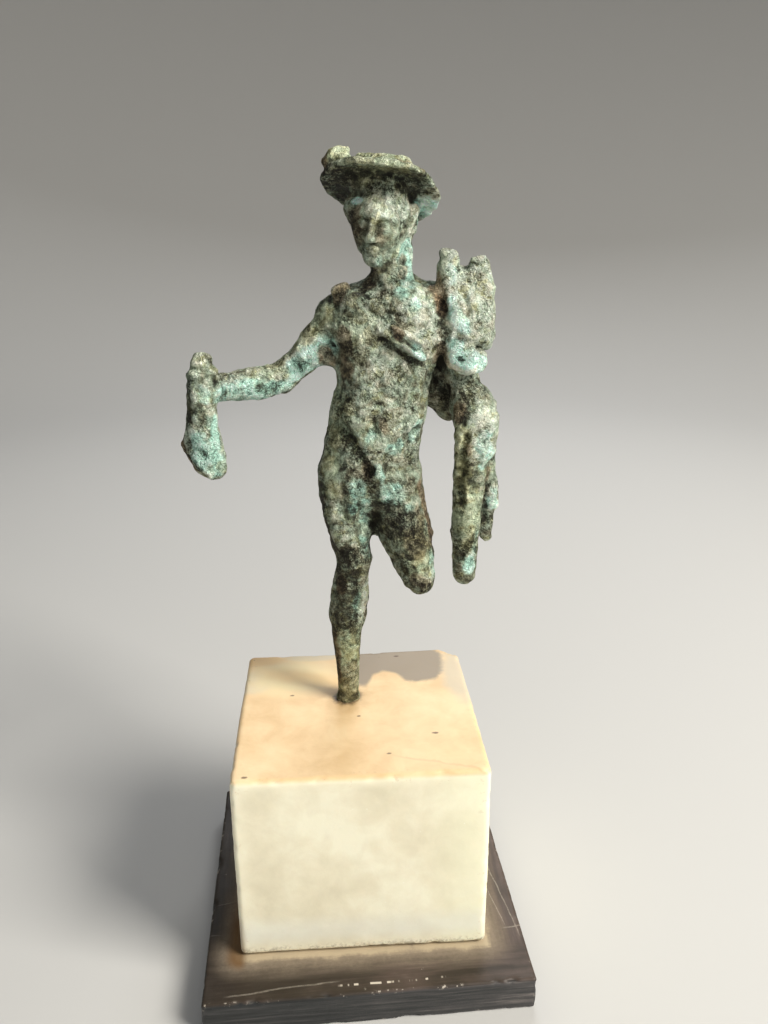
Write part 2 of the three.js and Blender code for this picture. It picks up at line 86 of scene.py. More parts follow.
def noise(points, size, seed):
    """Gradient noise, from about -1 to 1: a random slope at each corner of a lattice of cells of this size,
    blended inside each cell by a curve that is level at both ends. It repeats after LATTICE cells."""
    slopes = np.random.default_rng(seed).normal(size=(LATTICE, LATTICE, LATTICE, 3)).astype(np.float32)
    slopes /= np.linalg.norm(slopes, axis=-1, keepdims=True)
    place = (points / size).astype(np.float32) + np.float32(0.37 * seed)
    cell = np.floor(place).astype(np.int32)
    part = place - cell
    fade = part**3 * (part * (part * 6 - 15) + 10)
    total = np.zeros(len(points), np.float32)
    for corner in itertools.product((0, 1), repeat=3):
        at = (cell + corner) % LATTICE
        weight = np.where(corner, fade, 1 - fade).prod(1)
        slope = slopes[at[:, 0], at[:, 1], at[:, 2]]
        total += weight * (slope * (part - np.array(corner, np.float32))).sum(1)
    return total * 1.7


def smooth(value, low, high):
    """0 below low, 1 above high, and an S curve between them."""
    t = np.clip((value - low) / (high - low), 0, 1)
    return t * t * (3 - 2 * t)


def mesh_piece(name, points, quads, **marks):
    """A mesh object at the origin, with one number at each point for each mark."""
    mesh = bpy.data.meshes.new(name)
    mesh.vertices.add(len(points))
    mesh.vertices.foreach_set("co", np.asarray(points, np.float32).ravel())
    mesh.loops.add(quads.size)
    mesh.loops.foreach_set("vertex_index", quads.astype(np.int32).ravel())
    mesh.polygons.add(len(quads))
    mesh.polygons.foreach_set("loop_start", np.arange(0, quads.size, 4, dtype=np.int32))
    mesh.update(calc_edges=True)
    mesh.polygons.foreach_set("use_smooth", np.ones(len(quads), bool))
    for mark, values in marks.items():
        mesh.attributes.new(mark, "FLOAT", "POINT").data.foreach_set("value", np.asarray(values, np.float32))
    piece = bpy.data.objects.new(name, mesh)
    bpy.context.collection.objects.link(piece)
    return piece


def edge_gap(points, size):
    """How far each point of a box's surface is from the nearest edge: the middle one of its three gaps to
    the sides."""
    half = np.array(size) / 2
    gaps = half - np.abs(points - (0, 0, half[2]))
    return np.sort(gaps, axis=1)[:, 1]


def worn(points, out, size, chip, depth, amount, seed):
    """Nicks along the edges: where a patchy noise is high, the surface near an edge sinks by about depth."""
    near = 1 - smooth(edge_gap(points, size), 0, chip)
    patch = smooth(noise(points, chip * 1.6, seed), amount, amount + 0.35)
    rough = 0.75 + 0.5 * noise(points, chip * 0.45, seed + 1)
    return points - out * (near * patch * rough * depth)[:, None]


class Value:
    """A value of a material while it is worked out: sums and products add the nodes that they need."""

    def __init__(self, finish, socket):
        self.finish, self.socket = finish, socket

    def worked(self, operation, *inputs):
        return self.finish.node("ShaderNodeMath", {"operation": operation}, dict(enumerate(inputs)))

    def __add__(self, other):
        return self.worked("ADD", self, other)

    def __sub__(self, other):
        return self.worked("SUBTRACT", self, other)

    def __mul__(self, other):
        return self.worked("MULTIPLY", self, other)

    def __truediv__(self, other):
        return self.worked("DIVIDE", self, other)

    def __rsub__(self, other):
        return self.worked("SUBTRACT", other, self)

    __radd__ = __add__
    __rmul__ = __mul__

    def least(self, other):
        return self.worked("MINIMUM", self, other)

    def most(self, other):
        return self.worked("MAXIMUM", self, other)

    def size(self):
        return self.worked("ABSOLUTE", self)

    def root(self):
        return self.worked("SQRT", self)

    def step(self, low, high):
        """0 below low, 1 above high, smoothly between; low may be above high."""
        settings = {"interpolation_type": "SMOOTHSTEP"}
        flip = low > high
        inputs = {"Value": self, "From Min": min(low, high), "From Max": max(low, high)}
        inputs.update({"To Min": 1.0 if flip else 0.0, "To Max": 0.0 if flip else 1.0})
        return self.finish.node("ShaderNodeMapRange", settings, inputs)


class Finish:
    """A material under work: node() adds a node with its settings and its sockets' values or links."""

    def __init__(self, name):
        self.material = bpy.data.materials.new(name)
        self.material.use_nodes = True
        self.tree = self.material.node_tree
        self.surface = self.tree.nodes["Principled BSDF"]
        self.place = self.node("ShaderNodeTexCoord", out="Object")

    def node(self, kind, settings=None, inputs=None, out=0):
        made = self.tree.nodes.new(kind)
        for name, value in (settings or {}).items():
            setattr(made, name, value)
        for name, value in (inputs or {}).items():
            self.feed(made.inputs[name], value)
        return Value(self, made.outputs[out])

    def feed(self, socket, value):
        if isinstance(value, Value):
            self.tree.links.new(value.socket, socket)
        else:
            socket.default_value = value

    def noise(self, size, detail, rough=0.55, warp=0.0, place=None):
        """Noise of this size in metres, from 0 to 1, mostly between 0.3 and 0.7."""
        inputs = {"Vector": place or self.place, "Scale": 1 / size, "Detail": detail, "Roughness": rough}
        inputs["Distortion"] = warp
        return self.node("ShaderNodeTexNoise", None, inputs)

    def cells(self, size, place=None):
        """Distance to the nearest of scattered points, 0 at a point, about size apart in metres."""
        inputs = {"Vector": place or self.place, "Scale": 1 / size}
        return self.node("ShaderNodeTexVoronoi", None, inputs)

    def seen_from(self, location=(0, 0, 0), turn=(0, 0, 0), scale=(1, 1, 1)):
        """The place in a frame that is set at a location, turned, and longer by the scale along each axis."""
        inputs = {"Vector": self.place, "Location": location, "Rotation": turn, "Scale": scale}
        return self.node("ShaderNodeMapping", {"vector_type": "TEXTURE"}, inputs)

    def shaken(self, size, amount):
        """The place, moved about by a coloured noise of this size."""
        inputs = {"Vector": self.place, "Scale": 1 / size, "Detail": 2.0}
        shift = self.node("ShaderNodeTexNoise", None, inputs, out="Color")
        inputs = {0: shift, 1: (amount, amount, amount), 2: self.place}
        return self.node("ShaderNodeVectorMath", {"operation": "MULTIPLY_ADD"}, inputs)

    def parts(self, place=None):
        """A place's three coordinates."""
        split = self.node("ShaderNodeSeparateXYZ", None, {0: place or self.place}).socket.node
        return [Value(self, split.outputs[axis]) for axis in range(3)]

    def mark(self, name):
        """The number that the mesh holds at each point under this name."""
        return self.node("ShaderNodeAttribute", {"attribute_name": name}, out="Fac")

    def mix(self, factor, first, second, kind="MIX"):
        """Between two colours, by a factor from 0 to 1."""
        colours = [c if isinstance(c, Value) else (*c, 1) for c in (first, second)]
        settings = {"data_type": "RGBA", "blend_type": kind}
        return self.node("ShaderNodeMix", settings, {0: factor, 6: colours[0], 7: colours[1]}, out=2)

    def ramp(self, value, *stops):
        """A colour that changes with a value: stops of a place from 0 to 1 and a colour."""
        ramp = self.node("ShaderNodeValToRGB", None, {0: value})
        marks = ramp.socket.node.color_ramp.elements
        for mark, (place, colour) in zip([marks[0], marks[1]], (stops[0], stops[-1])):
            mark.position, mark.color = place, (*colour, 1)
        for place, colour in stops[1:-1]:
            marks.new(place).color = (*colour, 1)
        return ramp

    def bump(self, height, distance, strength):
        inputs = {"Height": height, "Distance": distance, "Strength": strength}
        return self.node("ShaderNodeBump", None, inputs)

    def wear(self, *pieces, **sockets):
        """Feeds the surface's sockets and gives the material to the pieces."""
        for name, value in sockets.items():
            socket = self.surface.inputs[name.replace("_", " ")]
            self.feed(socket, value if isinstance(value, (Value, float)) else (*value, 1))
        for piece in pieces:
            piece.data.materials.clear()
            piece.data.materials.append(self.material)


points, out, quads = box_skin(SLAB_SIZE, SLAB_EDGE, SLAB_SPACING)
points = worn(points, out, SLAB_SIZE, 0.0011, 0.00045, 0.25, 3)
points = worn(points, out, SLAB_SIZE, 0.0028, 0.0011, 0.75, 5)
points += out * (0.00006 * noise(points, 0.006, 7) + 0.00003 * noise(points, 0.0012, 8))[:, None]
slab = mesh_piece("slate_slab", points, quads, chipped=1 - smooth(edge_gap(points, SLAB_SIZE), 0, 0.0006))

BLOCK_SIZE = np.array((0.042, 0.041, 0.0350))
BLOCK_TURN = math.radians(-1.6)
BLOCK_SET_BACK = 0.0017
BED = 0.0003
BLOCK_FOOT = SLAB_SIZE[2] + BED

slate = Finish("slate")
x, y, z = slate.parts()
by_block = slate.seen_from((0, BLOCK_SET_BACK, 0), (0, 0, BLOCK_TURN))
bx, by = slate.parts(by_block)[:2]
past_x = (bx.size() - BLOCK_SIZE[0] / 2).most(0.0)
past_y = (by.size() - BLOCK_SIZE[1] / 2).most(0.0)
from_block = (past_x * past_x + past_y * past_y).root()
on_top = z.step(SLAB_SIZE[2] - 0.0005, SLAB_SIZE[2] - 0.0001)
across_lines = slate.noise(0.0012, 4, 0.65, place=slate.seen_from(scale=(14, 1, 0.5)))
side_lines = slate.noise(0.0012, 4, 0.65, place=slate.seen_from(scale=(1, 14, 1)))
cloud = slate.noise(0.009, 4, 0.6)
fine = slate.noise(0.0005, 3, 0.65)
rub = by.step(-0.0195, -0.0225)
streaks = rub * across_lines + (1 - rub) * side_lines
# Both ramps run lighter towards the right through their x terms: painted light falling from the right, with
# painted shade on the left beside the block.
top_colour = slate.ramp(
    cloud * 0.5 + streaks * 0.55 + x * 3.2,
    (0.32, (0.020, 0.013, 0.007)), (0.5, (0.036, 0.026, 0.018)), (0.66, (0.076, 0.053, 0.042)),
    (0.8, (0.14, 0.102, 0.086)),
)
at_side = x.size().step(0.0270, 0.0274)
side_colour = slate.ramp(
    (across_lines * (1 - at_side) + side_lines * at_side) * 0.85 + cloud * 0.2 + x * 3.0 * (1 - at_side),
    (0.34, (0.013, 0.014, 0.014)), (0.5, (0.029, 0.030, 0.030)), (0.64, (0.062, 0.058, 0.057)),
    (0.8, (0.17, 0.15, 0.14)),
)
stone = slate.mix(on_top, side_colour, top_colour)
reach = from_block + (cloud - 0.5) * 0.004 - (streaks - 0.5) * 0.002
dust = reach.step(0.0058, 0.0002) * on_top
dusty = slate.mix(dust * (fine * 0.7 + 0.45).least(1.0), stone, (0.28, 0.225, 0.165))
seam = (reach + (fine - 0.5) * 0.0012).step(0.0016, 0.0002) * on_top
dusty = slate.mix(seam * 0.75, dusty, (0.55, 0.45, 0.30))
stain = (by - 0.002).step(-0.006, -0.017) * bx.step(-0.0196, -0.0212)
stain = stain * from_block.step(0.0034, 0.0012) * on_top
dusty = slate.mix(stain * 0.85, dusty, (0.15, 0.075, 0.022))


def scored(degrees, across, wide, start, end):
    """A scratch in the top: a line at an angle, a distance from the middle, between two points of its
    length, fading towards both."""
    u, v = slate.parts(slate.seen_from(turn=(0, 0, math.radians(degrees))))[:2]
    gap = (v - across + (cloud - 0.5) * 0.0011).size()
    ends = u.step(start, start + 0.002) * u.step(end, end - 0.003)
    return gap.step(wide, wide * 0.35) * ends * (fine * 1.5 - 0.2).least(1.0)


def strongest(values):
    """The greatest of several values of a material."""
    top, *others = values
    for other in others:
        top = top.most(other)
    return top


scratches = on_top * strongest(scored(*scratch) for scratch in (
    (97, -0.0243, 0.00016, -0.022, 0.004), (99, -0.0219, 0.00012, -0.02, -0.004),
    (8, -0.0195, 0.00020, 0.021, 0.0275), (-3, -0.0146, 0.00018, -0.0275, -0.024),
    (12, -0.0005, 0.00016, -0.028, -0.0235), (4, -0.0243, 0.00022, -0.026, -0.006),
))
speck = slate.cells(0.0036).step(0.085, 0.05) * fine.step(0.5, 0.6)
dashes = slate.noise(0.0011, 2, 0.5, place=slate.seen_from(scale=(1, 40, 40))).step(0.53, 0.6)
ridge = (y + 0.0256 + (cloud - 0.5) * 0.0006).size().step(0.00028, 0.0001) * dashes
ridge = ridge * x.step(-0.0062, -0.004) * x.step(0.0135, 0.0110) * on_top
chips = slate.mark("chipped") * slate.noise(0.0011, 3, 0.7).step(0.57, 0.64)
chips = chips * slate.noise(0.007, 2).step(0.47, 0.56)
pale = strongest((scratches * 0.36, speck * 0.55, ridge * 0.95, chips * 0.85))
colour = slate.mix(pale, dusty, (0.62, 0.56, 0.47))
relief = across_lines * (1 - on_top) * 0.7 + streaks * on_top * 0.3 + fine * 0.3 - scratches * 0.4
slate.wear(
    slab,
    Base_Color=colour,
    Roughness=(0.60 + dust * 0.35 - cloud * 0.15),
    Normal=slate.bump(relief, 0.00014, 0.6),
    Specular_IOR_Level=0.4,
)
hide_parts("slab")
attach(slab, "root")

# Block
# A cube of cream marble, cut and honed, with its edges rubbed round by handling. The top corner behind on
# the right is knocked off, grey and honey-coloured veins cloud the top, and a brown stain rings the ankle.
BLOCK_EDGE = 0.0009
BLOCK_SPACING = 0.00058
KNOCKED_CORNER = 0.0032
RIGHT_SIDE_TALLER = 0.0004


def on_block(points):
    """From the block's own frame, its foot at the origin, to the object's frame."""
    turn = np.array(Matrix.Rotation(BLOCK_TURN, 3, "Z"))
    return points @ turn.T + (0, BLOCK_SET_BACK, BLOCK_FOOT)


points, out, quads = box_skin(BLOCK_SIZE, BLOCK_EDGE, BLOCK_SPACING)
points = worn(points, out, BLOCK_SIZE, 0.0013, 0.00028, 0.25, 11)
points = worn(points, out, BLOCK_SIZE, 0.0030, 0.0006, 0.85, 13)
through = BLOCK_SIZE * (0.5, 0.5, 1) - KNOCKED_CORNER * np.array((0.5, 0.5, 0.25))
towards = np.array((0.579, 0.579, 0.574))
beyond = (points - through) @ towards + 0.00025 * noise(points, 0.0016, 15)
points = points - np.maximum(beyond, 0)[:, None] * towards
points[:, 2] *= 1 + RIGHT_SIDE_TALLER / BLOCK_SIZE[2] * smooth(points[:, 0], 0, BLOCK_SIZE[0] / 2)
points += out * (0.00009 * noise(points, 0.011, 17) + 0.000025 * noise(points, 0.002, 18))[:, None]
block = mesh_piece(
    "marble_block", on_block(points), quads,
    broken=smooth(beyond, 0, 0.0002), rubbed=1 - smooth(edge_gap(points, BLOCK_SIZE), 0, 0.0030),
)

marble = Finish("marble")
x, y, z = marble.parts(marble.seen_from((0, BLOCK_SET_BACK, BLOCK_FOOT), (0, 0, BLOCK_TURN)))
cloud = marble.noise(0.016, 3, 0.5, 0.4)
mottle = marble.noise(0.0045, 4, 0.6, 0.3)
grain = marble.noise(0.0006, 3, 0.6)
height = float(BLOCK_SIZE[2])
on_top = z.step(height - 0.0009, height - 0.0001)
front = marble.ramp(
    cloud * 0.62 + mottle * 0.38,
    (0.36, (0.70, 0.64, 0.47)), (0.5, (0.80, 0.74, 0.56)), (0.62, (0.88, 0.84, 0.66)),
)
front = marble.mix(marble.mark("rubbed") * 0.65, front, (0.93, 0.88, 0.68))
# The sides are painted paler towards the right: painted light falling from the right.
front = marble.mix(x.step(0.008, 0.0205) * 0.5, front, (0.93, 0.93, 0.68))
top = marble.ramp(
    cloud * 0.5 + mottle * 0.5,
    (0.38, (0.74, 0.52, 0.28)), (0.5, (0.82, 0.60, 0.345)), (0.62, (0.87, 0.67, 0.41)),
)
colour = marble.mix(on_top, front, top)


def cloudy(across, back, wide, deep, soft, degrees=0.0):
    """A cloud in the top of the block: 1 inside an ellipse, 0 outside it, with an edge that wanders and is as
    soft as this share of the ellipse. The ellipse is turned by degrees."""
    turn = math.radians(degrees)
    u = ((x - across) * math.cos(turn) + (y - back) * math.sin(turn)) / wide
    v = ((y - back) * math.cos(turn) - (x - across) * math.sin(turn)) / deep
    reach = (u * u + v * v).root() + (mottle - 0.5) * 0.55 + (cloud - 0.5) * 0.35
    return reach.step(1.0 + soft / 2, 1.0 - soft / 2) * on_top


grey = strongest(cloudy(*spot) for spot in (
    (0.0118, 0.0150, 0.0056, 0.0072, 0.22), (0.0032, 0.0168, 0.0062, 0.0062, 0.3),
    (0.0015, 0.0108, 0.0022, 0.0036, 0.6),
))
grey = grey * (1 - cloudy(0.0058, 0.0072, 0.0036, 0.0046, 0.3))
colour = marble.mix(grey * 0.92, colour, (0.285, 0.24, 0.185))
strip = strongest(cloudy(*spot) for spot in (
    (0.0200, 0.0090, 0.0030, 0.0095, 0.8), (-0.0196, 0.0102, 0.0042, 0.0040, 0.6),
    (-0.0085, 0.0192, 0.0052, 0.0016, 0.6),
))
colour = marble.mix(strip * 0.7, colour, (0.60, 0.55, 0.43))
# A soft brown band on the top behind on the left, where the figure's shadow falls: painted shadow.
painted_shadow_band = cloudy(-0.0150, 0.0150, 0.0062, 0.0019, 1.1, 28)
colour = marble.mix(painted_shadow_band * 0.12, colour, (0.38, 0.26, 0.14))
# A paler cloud on the top behind on the left: painted light, lifting the figure's shadow there.
light = cloudy(-0.0125, 0.0118, 0.0080, 0.0062, 1.0)
colour = marble.mix(light * 0.9, colour, (1.0, 0.82, 0.48))
honey = cloudy(-0.0098, 0.0112, 0.0078, 0.0025, 1.2, -20).most(cloudy(-0.0180, 0.0188, 0.0040, 0.0024, 0.9))
colour = marble.mix(honey * 0.5, colour, (0.84, 0.54, 0.22))
ANKLE = (-0.0015, 0.0037)
u, v = x - ANKLE[0], y - ANKLE[1]
from_ankle = (u * u + v * v).root() + (mottle - 0.5) * 0.0030
tan_ring = from_ankle.step(0.0058, 0.0020) * on_top
dark_ring = (from_ankle + (grain - 0.5) * 0.0012).step(0.0034, 0.0019) * on_top
colour = marble.mix(tan_ring * 0.5, colour, (0.42, 0.26, 0.11))
colour = marble.mix(dark_ring * 0.9, colour, (0.035, 0.028, 0.018))
grime = z.step(0.0022, 0.0) * (grain * 0.9 + mottle * 0.5).step(0.62, 0.86)
colour = marble.mix(grime * 0.8, colour, (0.24, 0.19, 0.12))
veil = z.step(0.0012, 0.0042) * z.step(0.0088, 0.0048) * (1 - on_top)
colour = marble.mix(veil * 0.5, colour, (0.82, 0.82, 0.73))
seep = x.step(-0.0196, -0.0212) * z.step(0.017, 0.0) * (mottle + cloud * 0.4).step(0.6, 0.85)
colour = marble.mix(seep * 0.6, colour, (0.36, 0.20, 0.07))
crystal = marble.cells(0.0026).step(0.05, 0.02) * marble.noise(0.008, 2).step(0.5, 0.6) * (1 - on_top)
colour = marble.mix(crystal * 0.7, colour, (0.95, 0.93, 0.84))


def fleck(across, back, radius):
    """A small hole in the top, filled with dark dirt."""
    u, v = x - across, y - back
    return ((u * u * 0.35 + v * v).root() + (grain - 0.5) * 0.0003).step(radius, radius * 0.45)


flecks = strongest(fleck(*hole) for hole in (
    (0.0131, -0.0094, 0.00042), (0.0048, -0.0145, 0.00034), (-0.0186, -0.0192, 0.0004),
    (0.0002, -0.0028, 0.00028), (0.0085, 0.0181, 0.0004), (-0.0119, 0.0048, 0.0003),
))
specks = marble.cells(0.0068).step(0.030, 0.018)
marks = (flecks * 0.8).most(specks * 0.45) * on_top
colour = marble.mix(marks, colour, (0.10, 0.055, 0.03))
veinlet = (x * 0.35 + y + 0.0132 + (mottle - 0.5) * 0.0022).size().step(0.0005, 0.0)
veinlet = veinlet * x.step(0.004, 0.008) * on_top
colour = marble.mix(veinlet * 0.3, colour, (0.50, 0.34, 0.18))
scuffs = marble.mark("rubbed") * marble.noise(0.0013, 3, 0.7).step(0.61, 0.7)
colour = marble.mix(scuffs * 0.4, colour, (0.55, 0.40, 0.22))
colour = marble.mix(marble.mark("broken") * 0.6, colour, (0.86, 0.76, 0.55))
marble.wear(
    block,
    Base_Color=colour,
    Roughness=0.40 + mottle * 0.2 + grime * 0.3,
    Normal=marble.bump(grain * 0.5 + mottle * 0.7, 0.00006, 0.5),
    Specular_IOR_Level=0.4,
    Subsurface_Weight=0.1,
)
marble.surface.inputs["Subsurface Radius"].default_value = (0.0022, 0.0015, 0.0009)
marble.surface.inputs["Subsurface Scale"].default_value = 1.0
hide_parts("block")
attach(block, "root")

# Figure: the forms
# One solid casting from a wax model, so trunk, limbs, hat, purse and cloak are one piece of metal. It is
# drawn in hundredths of its height, x to the viewer's right, y back, z up from the broken ankle.
FIGURE_HEIGHT = 0.094
UNIT = FIGURE_HEIGHT / 100
BOTH = (-1, 1)
FAR = 1e3


def form(blend, box, distance, carve=False):
    """One form of the figure: how far it melts into what it joins, the box round it, and its distance as a
    function of x, y and z. carve takes it away instead of adding it."""
    return {
        "blend": blend, "carve": carve, "box": box, "distance": distance, "at": (0, 0, 0), "turn": np.eye(3),
    }


def limb(blend, depth, *knots, carve=False):
    """Balls strung on a line, each knot x, y, z and radius, with the gaps filled by cones.

    The distance to a stretch is the distance to its nearest point, less the radius there. depth flattens the
    limb front to back.
    """
    knots = np.array(knots, float)
    reach = knots[:, 3:4] * (1, max(depth, 1), 1)
    box = np.array(((knots[:, :3] - reach).min(0), (knots[:, :3] + reach).max(0)))

    def distance(x, y, z):
        nearest = FAR
        for a, b in zip(knots[:-1], knots[1:]):
            along = (b - a)[:3] / (1, depth, 1)
            u, v, w = x - a[0], (y - a[1]) / depth, z - a[2]
            t = np.clip((u * along[0] + v * along[1] + w * along[2]) / (along @ along), 0, 1)
            gap = np.sqrt((u - t * along[0])**2 + (v - t * along[1])**2 + (w - t * along[2])**2)
            nearest = np.minimum(nearest, gap - a[3] - t * (b[3] - a[3]))
        return nearest

    return form(blend, box, distance, carve)


def hollow(blend, *knots):
    """A limb that is cut away from what is there."""
    return limb(blend, 1, *knots, carve=True)


def placed(at, turns, forms):
    """The forms in a frame of their own, turned by degrees about x, y and z and set at a point."""
    turn = np.array(Euler([math.radians(t) for t in turns]).to_matrix())
    return [{**each, "at": at, "turn": turn} for each in forms]


trunk = [
    # Hips, waist and chest
    limb(2, 0.62, (4.9, 0.3, 46.2, 8.6), (5.3, 0, 51, 8.4), (6.2, -0.2, 56.2, 7.9)),
    limb(2, 0.62, (6.2, -0.2, 56.2, 7.9), (7.2, -0.3, 60.5, 8.0), (7.2, -0.3, 65, 8.2), (7.6, 0, 70, 8.3)),
    # Shoulders, and their slope to the neck
    limb(3, 0.9, (-0.6, 0.6, 73.8, 3.1), (7.8, 0.8, 75, 3.6), (14.6, 0.4, 75, 3.6)),
    limb(1.8, 1, (3, 1.6, 76.4, 1.7), (8.6, 0.8, 78.4, 2.4), (13.6, 0.8, 76.2, 1.9)),
    # Chest muscles
    *[limb(2.2, 0.7, (7.0 + s * 2.9, -3.0, 70.2, 3.0), (7.0 + s * 5.6, -2.4, 71.2, 2.8)) for s in BOTH],
    # Stomach, in soft squares
    limb(2.6, 0.6, (6.2, -2.0, 64, 4.4), (5.4, -2.2, 56, 4.6), (5.2, -1.9, 50.5, 4.2)),
    *[
        limb(1.6, 0.8, (6.0 + s * 2.0, -3.9, z, 1.6), (5.8 + s * 2.5, -3.8, z - 1.6, 1.5))
        for s in BOTH
        for z in (62.5, 58.2)
    ],
    # Seat
    *[limb(2.5, 0.9, (4.9 + s * 4.1, 3.4, 45, 4.2), (4.9 + s * 4.4, 3, 42, 3.8)) for s in BOTH],
    # Middle line, and the arch under the ribs
    hollow(1.4, (6.4, -5.7, 66.0, 0.45), (5.6, -5.8, 58, 0.45), (5.4, -5.5, 54.5, 0.4)),
    hollow(1.6, (1.8, -4.6, 66.0, 0.4), (3.6, -5.4, 65.4, 0.45), (5.6, -5.7, 66.4, 0.4)),
    # Hip bones, and the lines from them to the groin
    limb(1.2, 1, (0.9, -2.7, 57.8, 1.7), (1.8, -3.4, 56.0, 1.6)),
    limb(1.4, 1, (12.0, -2.8, 56.4, 1.8), (11.0, -3.4, 54.6, 1.5)),
    hollow(
        0.9, (-1.6, -3.1, 55.6, 0.9), (0.4, -4.6, 54.0, 1.0), (2.5, -5.4, 50.8, 0.9),
        (4.1, -5.7, 46.6, 0.9),
    ),
    hollow(
        0.9, (12.8, -3.4, 54.4, 0.7), (10.7, -4.8, 52.8, 0.8), (8.0, -5.5, 50.2, 0.8),
        (7.0, -5.7, 47.6, 0.7),
    ),
    # Genitals
    limb(0.7, 1, (5.9, -5.3, 48.6, 0.85), (5.8, -5.8, 46.9, 0.75)),
    *[limb(0.6, 1, (5.8 + s * 0.7, -5.3, 46.4, 0.75), (5.8 + s * 0.6, -5.2, 45.7, 0.75)) for s in BOTH],
    # Between the thighs
    hollow(0.8, (5.6, -5.2, 44.4, 0.6), (5.4, -4.8, 40.5, 0.6), (5.3, -3.7, 37.5, 0.5)),
    limb(1.2, 1, (5.4, -0.6, 40, 1.6), (5.4, -0.8, 36.2, 1.2)),
    # Navel
    hollow(0.9, (5.4, -5.8, 55.4, 0.6), (5.4, -5.8, 54.9, 0.6)),
    # Cleft, shoulder blades and spine
    hollow(1.5, (4.9, 6.0, 48, 0.8), (4.9, 5.5, 40, 0.8)),
    *[limb(2.0, 0.7, (7.0 + s * 4.0, 3.2, 72, 2.3), (7.0 + s * 4.4, 3.5, 67.5, 1.6)) for s in BOTH],
    hollow(1.8, (6.8, 5.9, 72, 0.9), (5.8, 5.6, 60, 0.9), (5.2, 5.6, 52, 0.9)),
]

LUMPS = 9
turns = np.arange(LUMPS) * 2 * math.pi / LUMPS + 0.3
ankle_crust = [
    limb(
        0.5, 1, (r * c - 0.2, r * s * 0.8 - 0.1, 0.0, size),
        (r * c * 0.85 - 0.2, r * s * 0.7, 0.7 + rise, size * 0.7),
    )
    for c, s, r, size, rise in zip(
        np.cos(turns), np.sin(turns), 1.7 + 0.25 * np.cos(3.1 * turns),
        0.55 + 0.16 * np.sin(4.7 * turns), 0.4 * np.cos(2.3 * turns),
    )
]
legs = [
    # Right thigh, calf and ankle
    limb(
        2.5, 1, (0.6, 0.4, 45, 4.8), (0.4, -0.5, 39.5, 4.45), (1.0, -0.9, 33.4, 3.6),
        (1.75, -1.2, 29.3, 2.8),
    ),
    limb(
        1.5, 1, (1.75, -1.2, 29.3, 2.8), (0.7, -0.2, 24.2, 3.1), (0.55, 0.7, 21, 3.5),
        (0.3, 0.8, 17.6, 3.35),
    ),
    limb(
        1.2, 1, (0.3, 0.8, 17.6, 3.35), (0.0, 0.5, 14.4, 2.9), (0, 0.2, 9.5, 2.4), (0.15, 0.1, 4.6, 2.1),
        (0, 0, 1.2, 1.95), (0, 0, -2, 1.95),
    ),
    # Right knee, and the muscles round it
    limb(1.2, 0.8, (1.2, -3.2, 30.2, 1.6), (1.0, -3.1, 28.2, 1.4)),
    hollow(1.2, (-0.8, -4.0, 28.0, 0.4), (1.0, -4.0, 26.2, 0.45), (2.8, -4.0, 28.2, 0.4)),
    limb(1.2, 1, (-1.6, -2.6, 39, 1.8), (-0.9, -3.2, 34, 1.3)),
    limb(1.0, 1, (2.8, -2.6, 35.5, 1.6), (2.6, -3.0, 31.5, 1.2)),
    limb(0.8, 1, (3.3, -0.6, 24.6, 0.9), (3.0, 0.2, 21.2, 1.2)),
    hollow(1.0, (2.1, -3.2, 25.0, 0.35), (2.0, -2.6, 18.5, 0.35)),
    # Left thigh and its worn stump
    limb(
        1.6, 1, (9.2, 0, 44, 4.8), (9.9, -0.8, 39, 5.0), (10.9, -1.9, 34.9, 4.75),
        (12.1, -3.2, 30.7, 4.0), (13.1, -4.1, 27.2, 3.15), (13.5, -4.4, 26.0, 2.5),
    ),
    limb(0.8, 1, (14.4, -0.6, 37.0, 1.1), (15.3, -1.4, 34.2, 0.9)),
    hollow(0.7, (14.4, -7.5, 26.6, 0.7), (12.6, -7.4, 25.6, 0.6)),
    hollow(0.7, (15.6, -5.4, 23.8, 0.7), (13.6, -6.0, 22.5, 0.8)),
    *ankle_crust,
]

